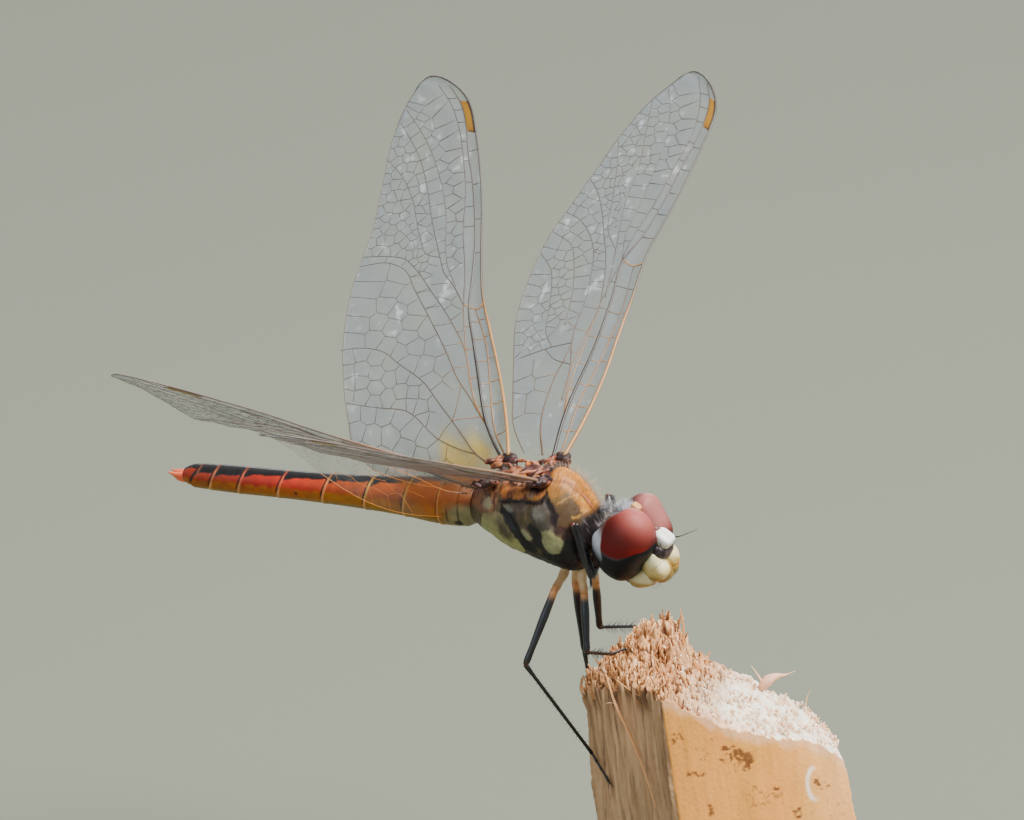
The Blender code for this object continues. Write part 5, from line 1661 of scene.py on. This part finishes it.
def capsule():
    """The head behind the eyes: a dark ball, hollowed at the neck, a pale plate over its
    top and a small yellow triangle where the eyes part."""
    rings, poles = globe((0, 0, 0), (1.05, 2.15, 2.25), 90, 110, 2.3)
    way = unit(rings)
    neck = 0.22 * np.exp(-((way[..., 1] ** 2 + (way[..., 2] + 0.1) ** 2) / 0.1)) * (way[..., 0] < 0)
    rings = rings * (1 - neck)[..., None]
    rings = rings + np.array((-1.32, 0, -0.12))
    l, c = (rings[..., k] for k in (1, 2))
    tint = paint(np.array((0.028, 0.02, 0.022)), (0.085, 0.05, 0.05), grain(l * 3, c * 3, 75))
    tint = paint(tint, (0.2, 0.19, 0.22), eased(1.3, 1.7, c) * eased(1.6, 1.2, np.abs(l)))
    tint = paint(tint, (0.4, 0.3, 0.3),
                 eased(0.6, 0.8, grain(l * 5, c * 5, 76)) * eased(1.5, 1.9, np.abs(l)) * 0.5)
    shell = sheath(rings, tint, tuple(pole + (-1.32, 0, -0.12) for pole in poles))
    triangle = ball((-0.4, 0.0, 2.6), (0.4, 0.34, 0.22), (0.72, 0.44, 0.2, 1), 20, 26, 3.2, 14)
    crest = ball((-1.05, 0.1, 2.2), (0.46, 0.62, 0.18), (0.3, 0.3, 0.33, 1), 20, 30, 3.0, 8)
    vertex = ball((1.4, 0.0, 1.42), (0.45, 0.36, 0.34), (0.26, 0.1, 0.07, 1), 20, 26, 2.3)
    return join([shell, triangle, crest, vertex]).moved(in_head)


def antenna(side):
    """A short stalk of two joints and a bristle that tapers to nothing."""
    points = ((2.35, 0.75, 0.9), (2.9, 0.9, 1.00), (3.6, 1.05, 1.55), (4.3, 1.25, 2.18))
    if side < 0:
        points = ((2.4, -0.75, 0.95), (2.72, -1.15, 0.85), (2.9, -1.8, 0.95), (2.95, -2.55, 1.15))
    radii = np.interp(np.linspace(0, 1, 24), (0, 0.1, 0.2, 0.26, 0.35, 1),
                      (0.09, 0.1, 0.07, 0.06, 0.036, 0.014)) * (1.0 if side > 0 else 0.45)
    return tubes(in_head(curve(points, 24)), radii, 8, (0.06, 0.05, 0.04, 1))


class DRAGONFLY_OT_head(bpy.types.Operator):
    """Shape the eyes, the face's lobes, the back of the head and the antennae"""

    bl_idname = "dragonfly.head"
    bl_label = "Head"

    def execute(self, context):
        settings = context.scene.dragonfly_head
        cornea = tinted("eye_facets", 0.5, 2200.0, 0.05, 0.003, 26000.0, Specular_IOR_Level=0.25)
        add_piece("eye_right_facets", eye(-1, settings), cornea, ("eye_right",))
        add_piece("eye_left_facets", eye(1, settings), cornea, ("eye_left",))
        wax = tinted("face_wax", 0.34, 1800.0, 0.06, 0.01, 9000.0, Subsurface_Weight=0.15,
                     Subsurface_Scale=0.0004,
                     Coat_Weight=0.1, Coat_Roughness=0.35)
        for node, parts in face_parts().items():
            add_piece(node + "_skin", join(parts).moved(in_head), wax, (node,))
        dull = tinted("head_cuticle", 0.5, 1800.0, 0.12, 0.02, 9000.0)
        add_piece("head_skin", capsule(), dull, ("head",))
        for node, side in (("antenna_right", -1), ("antenna_left", 1)):
            add_piece(node + "_bristle", antenna(side), dull, (node,))
        return {"FINISHED"}


# ---------------------------------------------------------------- abdomen

SEGMENTS = (
    # (length, half width, half height at its front)
    (0.95, 1.45, 1.45),
    (2.15, 1.65, 1.78),
    (3.2, 1.7, 1.84),
    (3.45, 1.42, 1.52),
    (3.7, 1.24, 1.3),
    (3.9, 1.12, 1.16),
    (3.45, 1.06, 1.08),
    (2.5, 1.06, 1.06),
    (1.5, 1.00, 0.98),
    (0.7, 0.88, 0.84),
)
BOUNDS = np.concatenate([[0.0], np.cumsum([row[0] for row in SEGMENTS])])
BREADTH = [row[1] for row in SEGMENTS] + [0.62]
DEPTH = [row[2] for row in SEGMENTS] + [0.56]
DARK_HALF = (30, 24, 18, 26, 32, 33, 36, 50, 48, 26)  # degrees of the black back, by segment
TAIL = {"cercus_right": (-0.32, -0.12, 1.5), "cercus_left": (0.32, -0.12, 1.5), "epiproct": (0.0, 0.3, 1.2)}
WINDOWS = (
    # (place along the abdomen, colour of the side window there)
    (0.0, (0.24, 0.06, 0.008)),
    (5.5, (0.3, 0.076, 0.007)),
    (8.0, (0.47, 0.115, 0.018)),
    (11.5, (0.45, 0.092, 0.024)),
    (15.4, (0.56, 0.05, 0.018)),
    (19.0, (0.44, 0.034, 0.013)),
    (22.0, (0.34, 0.044, 0.011)),
    (25.0, (0.38, 0.05, 0.02)),
)


def along_segments(x, angle):
    """The segment and the share of it at each place. Its edges lean: the back's part of
    each lies ahead of the belly's."""
    lean = 0.8 * (1 + np.cos(angle)) / 2 * eased(1.0, 4.0, x)
    x = np.clip(x + lean * eased(25.5, 24.0, x), 0, BOUNDS[-1] - 1e-6)
    number = np.searchsorted(BOUNDS, x, side="right") - 1
    share = (x - BOUNDS[number]) / np.diff(BOUNDS)[number]
    return number, share, (1 - share) * np.diff(BOUNDS)[number], share * np.diff(BOUNDS)[number]


def abdomen_tint(x, angle):
    """A black band along the back that widens before each ring, orange windows under it,
    an amber belly, and narrow rings each with a thin dark line behind."""
    number, share, left, gone = along_segments(x, angle)
    degrees = np.degrees(np.abs((angle + math.pi) % TAU - math.pi))
    rough = grain(x * 2.5, degrees / 14, 81)
    fine = grain(x * 7, degrees / 5, 83)
    cloud = grain(x * 0.9 + 3, degrees / 30, 82)
    places = [row[0] for row in WINDOWS]
    window = np.stack([np.interp(x, places, [row[1][k] for row in WINDOWS]) for k in range(3)], axis=-1)
    window = window * (1.05, 1.25, 0.55)
    belly = paint(window * (0.85, 2.0, 0.5), (0.46, 0.19, 0.01), 0.65 + 0.4 * (cloud - 0.5))
    belly = paint(belly, (0.4, 0.27, 0.035), eased(104, 128, degrees) * 0.7)
    tint = paint(window, belly, eased(72, 92, degrees + 16 * (rough - 0.5)))
    tint = paint(tint, (0.62, 0.26, 0.1), spot(x, degrees, (8.0, 92), (1.0, 16), 0, 0.7) * 0.4)
    half = np.array(DARK_HALF)[number] + 16 * eased(0.66, 0.94, share) - 5 * eased(0.25, 0.0, share)
    half = half + 7 * (rough - 0.5) + 4 * (fine - 0.5)
    black = eased(half + 3.5, half - 2.5, degrees) * eased(0.9, 2.2, x)
    tint = paint(tint, (0.022, 0.018, 0.019), black)
    line_at = eased(0.2, 0.1, gone) * eased(118, 96, degrees) * eased(0.9, 1.5, x)
    tint = paint(tint, (0.035, 0.018, 0.014), line_at * 0.9)
    pale = paint(window * (1.3, 2.6, 5.0) + 0.06, (0.7, 0.4, 0.19), eased(60, 110, degrees))
    ring = eased(0.26, 0.18, left + 0.08 * (fine - 0.5)) * eased(0.9, 2.0, x) * eased(24.5, 23.5, x)
    tint = paint(tint, pale, ring * (0.85 - 0.45 * eased(45, 10, degrees)))
    base = eased(3.0, 1.2, x + 0.4 * (rough - 0.5))
    tint = paint(tint, (0.36, 0.32, 0.19), base * eased(60, 90, degrees))
    tint = paint(tint, (0.26, 0.12, 0.045), base * eased(70, 40, degrees))
    for place, radii in (((1.25, 132), (0.36, 12)), ((0.43, 163), (0.22, 9)), ((15.35, 98), (0.14, 6))):
        tint = paint(tint, (0.03, 0.02, 0.018), spot(x, degrees, place, radii, 0, 0.3) * 0.9)
    for at in (1.05, 2.0):
        stripe = np.exp(-(((x - at - 0.004 * (degrees - 100)) / 0.07) ** 2)) * eased(70, 90,
                degrees) * eased(140, 120, degrees)
        tint = paint(tint, (0.06, 0.035, 0.02), stripe * 0.8)
    return tint * (0.88 + 0.24 * rough)[..., None]


def abdomen_skin():
    """Round sections, taller than broad, that swell a little towards each segment's
    hind edge and step down behind it, with a keel along the back and each side."""
    x = np.concatenate([np.linspace(0.02, 25.5, 560), [25.53]])[:, None]
    angle = TAU * np.arange(120) / 120
    left, gone = along_segments(x, angle)[2:]
    wide = between(BOUNDS, BREADTH, x)
    high = between(BOUNDS, DEPTH, x)
    step = 0.03 * eased(0.55, 0.05, left) - 0.035 * eased(0.3, 0.05, gone) * eased(0.5, 1.5, x)
    degrees = np.degrees((angle + math.pi) % TAU - math.pi)
    keel = 0.018 * np.exp(-((degrees / 6) ** 2)) + 0.02 * np.exp(-(((np.abs(degrees) - 118) / 5) ** 2))
    swell = 1 + (step + keel * eased(1, 4, x)) * eased(25.5, 25.2, x)
    size = swell * np.where(x > 25.51, 0.9, 1.0)
    rings = np.stack(np.broadcast_arrays(x, wide * size * np.sin(angle), -high * size * np.cos(angle)),
                     axis=-1)
    tint = abdomen_tint(np.broadcast_to(x, size.shape), np.broadcast_to(angle, size.shape))
    return sheath(in_abdomen(rings), tint)


def tail_piece(node):
    """A pointed appendage: a tube that swells, then tapers and curves up at its tip."""
    aside, down, length = TAIL[node]
    t = np.linspace(0, 1, 24)
    path = np.stack([25.4 + (length + 0.1) * t, aside * (1 - 0.25 * t),
                     down + 0.1 * np.sin(math.pi * t) - 0.06 * t**3], axis=1)
    radii = np.interp(t, (0, 0.25, 0.6, 0.9, 1),
                      (0.22, 0.25, 0.19, 0.07, 0.03)) * (1.0 if "cercus" in node else 1.15)
    tint = paint(np.array((0.92, 0.24, 0.11)), (0.78, 0.26, 0.13), t)
    return tubes(in_abdomen(path), radii, 14, np.concatenate([tint, np.ones((24, 1))], axis=1)[None])


class DRAGONFLY_OT_abdomen(bpy.types.Operator):
    """Shape the abdomen's ten segments as one skin and its pointed tail pieces"""

    bl_idname = "dragonfly.abdomen"
    bl_label = "Abdomen"

    def execute(self, context):
        shell = tinted("abdomen_cuticle", 0.48, 1300.0, 0.12, 0.012, 9000.0, Specular_IOR_Level=0.35)
        covers = tuple("abdomen_%d" % (number + 1) for number in range(10))
        add_piece("abdomen_skin", abdomen_skin(), shell, covers)
        for node in TAIL:
            add_piece(node + "_point", tail_piece(node), shell, (node,))
        return {"FINISHED"}


# ---------------------------------------------------------------- legs

LEGS = {
    # hip, trochanter, knee, ankle and claws: east, north and up of the hinges' middle
    "leg_fore_right": ((6.0, 0.3, -6.9), (6.3, -0.6, -7.2), (5.3, -1.9, -3.0), (6.7, -1.8, -6.5),
                       (6.8, -1.7, -7.6)),
    "leg_fore_left": ((6.0, 2.5, -6.3), (6.1, 3.4, -6.2), (4.3, 5.6, -2.6), (6.6, 4.6, -5.8),
                      (6.8, 4.4, -6.9)),
    "leg_mid_right": ((4.9, 0.4, -7.9), (5.2, 0.2, -8.9), (5.8, -0.5, -13.2), (5.5, 4.0, -14.45),
                      (5.9, 5.5, -14.3)),
    "leg_mid_left": ((4.6, 2.7, -7.4), (4.5, 3.3, -8.8), (3.5, 5.8, -13.0), (4.3, 9.9, -13.8),
                     (4.9, 11.2, -15.0)),
    "leg_hind_right": ((3.4, 0.4, -7.5), (3.3, -1.0, -8.6), (1.7, -2.6, -14.2), (5.0, 1.8, -21.7),
                       (6.8, 1.3, -23.7)),
    "leg_hind_left": ((3.2, 2.5, -7.0), (3.1, 2.7, -8.9), (2.0, 6.2, -15.1), (3.4, 6.2, -23.0),
                      (3.9, 6.4, -25.2)),
}
FOLDED_SHIN_AHEAD = 0.32


def spines(path, count, length, thick, seed, lean):
    """Bristles in two rows along a leg, leaning towards its end."""
    random = np.random.RandomState(seed)
    t = (np.arange(count) + 0.6) / (count + 0.4)
    start = np.stack([np.interp(t, np.linspace(0, 1, len(path)), path[:, k]) for k in range(3)], axis=1)
    along = unit(path[-1] - path[0])
    across = unit(np.cross(along, (0.46, -0.85, 0.24)))
    towards = unit(np.cross(across, along))
    side = np.where(np.arange(count) % 2 == 0, 1.0, -1.0)[:, None]
    way = side * across + random.uniform(-0.7, 0.9, (count, 1)) * towards
    way = unit(unit(way) + lean * along)
    size = length * (0.75 + 0.5 * random.rand(count, 1))
    steps = np.linspace(0, 1, 4)[None, :, None]
    bristle = start[:, None] + steps * (way * size)[:, None] + 0.12 * size[:, None] * along * steps**2
    return tubes(bristle, thick * np.array((1.0, 0.75, 0.45, 0.15)), 5, (0.012, 0.01, 0.01, 1))


def leg_parts(name):
    """Femur with hip and trochanter, tibia and tarsus as closed tubes with swellings at
    the joints; two hooked claws; spines on both long joints."""
    hip, trochanter, knee, ankle, claw = (HINGE_CENTRE + np.array(joint) for joint in LEGS[name])
    black = np.array((0.016, 0.017, 0.022))
    fore = "fore" in name
    t = np.linspace(0, 1, 30)[:, None]
    coxa = curve(np.stack([hip + (0.1, 0.2, 1.3), hip, (hip + trochanter) / 2 + 0.02, trochanter]), 16)
    pale = np.array((0.62, 0.4, 0.2)) if not fore else np.array((0.1, 0.05, 0.04))
    cream = paint(pale, (0.74, 0.62, 0.42) if not fore else (0.2, 0.12, 0.1),
                  grain(np.arange(16) * 0.5, 3, 91))
    cream = paint(cream, (0.56, 0.25, 0.07),
                  0.8 * eased(0.7, 1.0, np.linspace(0, 1, 16))) if not fore else cream
    swollen = np.interp(np.linspace(0, 1, 16), (0, 0.5, 0.7, 0.85, 1), (0.34, 0.38, 0.29, 0.33, 0.28))
    parts = [tubes(coxa, swollen, 14, np.concatenate([cream, np.ones((16, 1))], axis=1)[None])]
    femur = trochanter + t * (knee - trochanter)
    shade = paint(black, (0.055, 0.062, 0.085), 0.7 * grain(t[:, 0] * 9, 5, 92))
    start = eased(0.16, 0.04, t[:, 0]) * (0.0 if fore else 1.0)
    shade = paint(shade, (0.62, 0.34, 0.15), start)
    shade = paint(shade, (0.2, 0.055, 0.03), eased(0.95, 1.0, t[:, 0]) * 0.8)
    girth = np.interp(t[:, 0], (0, 0.08, 0.35, 0.8, 0.94, 1), (0.3, 0.29, 0.33, 0.25, 0.27, 0.2))
    girth = girth * (1.15 if fore else 1.0)
    parts.append(tubes(femur, girth, 16, np.concatenate([shade, np.ones((30, 1))], axis=1)[None]))
    parts.append(spines(femur[4:26], 34, 0.36, 0.024, 93, 0.9))
    upper = join(parts)
    shin = knee + np.array((FOLDED_SHIN_AHEAD, 0, 0)) if fore else knee
    tibia = shin + t * (ankle - shin)
    girth = np.interp(t[:, 0], (0, 0.04, 0.12, 0.9, 1), (0.19, 0.2, 0.14, 0.13, 0.15))
    shade = paint(black * 0.9, (0.03, 0.026, 0.028), grain(t[:, 0] * 12, 6, 94))
    count = 12 if fore else 34
    middle = join([tubes(tibia, girth, 14, np.concatenate([shade, np.ones((30, 1))], axis=1)[None]),
                   spines(tibia[2:28], count, 0.62 if "mid" in name else 0.42, 0.026, 95, 0.6)])
    along = unit(claw - ankle)
    joints = []
    for low, high, size in ((0.02, 0.3, 0.115), (0.3, 0.55, 0.105), (0.55, 0.95, 0.095)):
        span = np.linspace(low, high, 8)[:, None]
        swell = size * np.array((0.7, 0.9, 0.92, 0.95, 1.0, 1.08, 1.12, 0.85))
        joints.append(tubes(ankle + span * (claw - ankle), swell, 12, (*(black * 0.9), 1)))
    across = unit(np.cross(along, (0, 0, 1.0)))
    down = np.cross(across, along)
    down = down * (-1 if down[2] > 0 else 1)
    for side in (-1, 1):
        s = np.linspace(0, 1, 10)[:, None]
        hook = (claw - 0.1 * along + 0.42 * s * along + side * 0.2 * np.sin(s * 1.5) * across
                + 0.22 * s**2.2 * down)
        joints.append(tubes(hook, np.linspace(0.055, 0.012, 10), 8, (0.03, 0.018, 0.012, 1)))
    joints.append(spines(np.linspace(ankle, claw, 10), 12, 0.17, 0.014, 96, 0.8))
    return {"femur": upper, "tibia": middle, "tarsus": join(joints)}


class DRAGONFLY_OT_legs(bpy.types.Operator):
    """Shape each leg's joints, claws and spines"""

    bl_idname = "dragonfly.legs"
    bl_label = "Legs"

    def execute(self, context):
        horn = tinted("leg_horn", 0.36, 1800.0, 0.15, 0.012, 12000.0, Coat_Weight=0.2, Coat_Roughness=0.3)
        for name in LEGS:
            for part, shell in leg_parts(name).items():
                add_piece("%s_%s_horn" % (name, part), shell, horn, ("%s_%s" % (name, part),))
        return {"FINISHED"}


# ---------------------------------------------------------------- hairs


def hair_piece(roots, ways, lengths, thick, tint, places):
    """Single hairs as thin three-sided tubes that bend along the body."""
    t = np.linspace(0, 1, 4)[None, :, None]
    droop = np.array((-0.18, 0, -0.1))
    paths = roots[:, None] + t * (ways * lengths[:, None])[:, None] + t**2 * droop * lengths[:, None, None]
    radii = thick * np.array((1.0, 0.8, 0.5, 0.15))
    return tubes(in_body(paths), radii, 3, np.concatenate([tint, np.ones((len(tint), 1))], axis=1), 1.0,
                 places)


def trunk_hairs():
    """Fuzz on the front, the back and the flanks of the thorax and on the collar. Each
    hair's place on the map is its station and angle on the thorax unrolled."""
    random = np.random.RandomState(101)
    many = 8000
    ahead = random.uniform(-3.2, 6.4, many)
    angle = random.uniform(0, TAU, many)
    up = np.sin(angle)
    front = eased(2.5, 4.8, ahead)
    wanted = 0.02 + 0.85 * front * eased(0.1, 0.75, up) + 0.5 * eased(0.5, 0.9, up) + 0.2 * eased(5.3, 5.7,
            ahead)
    far = eased(-0.25, 0.3, np.cos(angle))
    keep = random.rand(many) < wanted * (0.35 + 0.65 * far)
    ahead, angle, up, far = ahead[keep], angle[keep], up[keep], far[keep]
    many = len(ahead)
    root = trunk_place(ahead, angle, trunk_relief(ahead, angle) - 0.02)
    nudge = 0.05
    along = unit(trunk_place(ahead + nudge, angle) - trunk_place(ahead - nudge, angle))
    round_ = unit(trunk_place(ahead, angle + nudge) - trunk_place(ahead, angle - nudge))
    outward = unit(np.cross(round_, along))
    centre = np.stack([ahead, 0 * ahead, 0 * ahead - 3.0], axis=1)
    outward = outward * np.sign(((root - centre) * outward).sum(axis=1))[:, None]
    way = unit(outward + random.normal(0, 0.25, (many, 3)) - 0.35 * along)
    length = (0.35 + 0.75 * random.rand(many)) * (0.45 + 0.65 * eased(2.5, 4.8, ahead) * eased(-0.2, 0.5, up))
    length = length + 0.25 * eased(0.5, 0.9, up) * random.rand(many)
    length = length * (0.3 + 0.7 * far)
    pale = (0.1 + 0.25 * random.rand(many) + 0.55 * eased(0.2, 0.8, up)) * (0.25 + 0.75 * far)
    tint = paint(trunk_tint(*root.T), (0.66, 0.62, 0.54), pale)
    places = np.stack([(ahead + 3.9) / 10.5, angle / TAU], axis=1) * 0.96 + 0.02
    coat = hair_piece(root, way, length, 0.008, tint, places)
    many = 300
    spread = random.rand(many, 3)
    root = np.array((5.85, 0.5, -3.05)) + spread * (0.5, 1.1, 0.45)
    way = unit(np.array((0.75, 0.2, 0.75)) + random.normal(0, 0.28, (many, 3)))
    tint = paint(np.array((0.36, 0.35, 0.37)), (0.8, 0.82, 0.85), random.rand(many))
    places = np.stack([(root[:, 0] + 3.9) / 10.5, 0.15 + 0.1 * spread[:, 1]], axis=1) * 0.96 + 0.02
    tuft = hair_piece(root, way, 0.45 + 0.75 * random.rand(many), 0.009, tint, places)
    return join([coat, tuft])


def head_hairs():
    """Short pale hairs over the back of the head and a few dark bristles on the face."""
    random = np.random.RandomState(102)
    many = 1500
    way = unit(random.normal(0, 1, (many, 3)) * (0.6, 1.0, 1.0) + (-0.5, 0, 0.2))
    root = np.array((-1.32, 0, -0.12)) + way * np.array((1.0, 2.1, 2.2))
    keep = (way[:, 0] < -0.1)
    root, way = root[keep], way[keep]
    many = len(root)
    length = 0.18 + 0.35 * random.rand(many)
    tint = paint(np.array((0.2, 0.15, 0.14)), (0.66, 0.62, 0.6), random.rand(many))
    places = np.stack([np.arctan2(way[:, 1], -way[:, 0]) / TAU + 0.5,
                       np.arccos(np.clip(way[:, 2], -1, 1)) / math.pi], axis=1)
    t = np.linspace(0, 1, 3)[None, :, None]
    lie = unit(way + random.normal(0, 0.3, (many, 3)))
    paths = root[:, None] + t * (lie * length[:, None])[:, None]
    fuzz = tubes(in_head(paths), 0.011 * np.array((1, 0.7, 0.2)), 3,
                 np.concatenate([tint, np.ones((many, 1))], axis=1),
                 1.0, places * 0.46 + 0.02)
    many = 420
    spread = random.rand(many, 3)
    root = np.array((-1.75, -0.75, 2.02)) + spread * (1.0, 1.5, 0.16)
    tint = paint(np.array((0.45, 0.45, 0.47)), (0.88, 0.9, 0.92), random.rand(many))
    lie = unit(np.array((-0.45, 0.0, 1.0)) + random.normal(0, 0.35, (many, 3)))
    paths = root[:, None] + t * (lie * (0.25 + 0.35 * random.rand(many, 1)))[:, None]
    places = spread[:, :2] * 0.1 + (0.85, 0.85)
    crown = tubes(in_head(paths), 0.012 * np.array((1, 0.7, 0.2)), 3,
                  np.concatenate([tint, np.ones((many, 1))], axis=1), 1.0, places)
    many = 260
    way = unit(random.normal(0, 1, (many, 3)) * (0.8, 1, 1) + (0.9, 0, 0))
    lobes = np.array([(*place, *radii) for _, place, radii, _, _ in FACE])[[0, 2, 3, 4]]
    pick = random.randint(0, 4, many)
    root = lobes[pick, :3] + way * lobes[pick, 3:] * 0.98
    length = 0.12 + 0.16 * random.rand(many)
    lie = unit(way + (0, 0, -0.5) + random.normal(0, 0.2, (many, 3)))
    paths = root[:, None] + t * (lie * length[:, None])[:, None]
    places = np.stack([0.5 + 0.12 * pick + 0.1 * (way[:, 1] + 1) / 2, 0.5 + 0.45 * (way[:, 2] + 1) / 2],
                      axis=1)
    beard = tubes(in_head(paths), 0.008 * np.array((1, 0.7, 0.2)), 3, (0.1, 0.07, 0.05, 1), 1.0, places)
    return join([fuzz, crown, beard])


class DRAGONFLY_OT_hairs(bpy.types.Operator):
    """Grow the fuzz of the thorax and the short hairs of the head"""

    bl_idname = "dragonfly.hairs"
    bl_label = "Hairs"

    def execute(self, context):
        hair = tinted("hair_shaft", 0.5, 3000.0, 0.08, 0.0005, 20000.0, Specular_IOR_Level=0.4)
        add_piece("thorax_hairs", trunk_hairs(), hair, ("thorax",))
        add_piece("head_hairs", head_hairs(), hair, ("head",))
        return {"FINISHED"}


# ---------------------------------------------------------------- panel

STEPS = ("stand", "stem", "thorax", "head", "abdomen", "wings", "legs", "hairs", "stage")


class DRAGONFLY_PT_panel(bpy.types.Panel):
    bl_label = "Dragonfly"
    bl_idname = "DRAGONFLY_PT_panel"
    bl_space_type = "VIEW_3D"
    bl_region_type = "UI"
    bl_category = "Dragonfly"

    def draw(self, context):
        column = self.layout.column()
        for step in STEPS:
            column.operator("dragonfly." + step)
        scene = context.scene
        for settings in (scene.dragonfly_wings, scene.dragonfly_head, scene.dragonfly_stage):
            for key in settings.__annotations__:
                column.prop(settings, key)


CLASSES = (
    StageSettings, WingSettings, HeadSettings,
    DRAGONFLY_OT_stand, DRAGONFLY_OT_stem, DRAGONFLY_OT_thorax, DRAGONFLY_OT_head, DRAGONFLY_OT_abdomen,
    DRAGONFLY_OT_wings, DRAGONFLY_OT_legs, DRAGONFLY_OT_hairs, DRAGONFLY_OT_stage, DRAGONFLY_PT_panel,
)


def register():
    for kind in CLASSES:
        bpy.utils.register_class(kind)
    bpy.types.Scene.dragonfly_stage = PointerProperty(type=StageSettings)
    bpy.types.Scene.dragonfly_wings = PointerProperty(type=WingSettings)
    bpy.types.Scene.dragonfly_head = PointerProperty(type=HeadSettings)


def unregister():
    for key in ("dragonfly_stage", "dragonfly_wings", "dragonfly_head"):
        delattr(bpy.types.Scene, key)
    for kind in reversed(CLASSES):
        bpy.utils.unregister_class(kind)


def main():
    register()
    for step in STEPS:
        getattr(bpy.ops.dragonfly, step)()


if __name__ == "__main__":
    main()
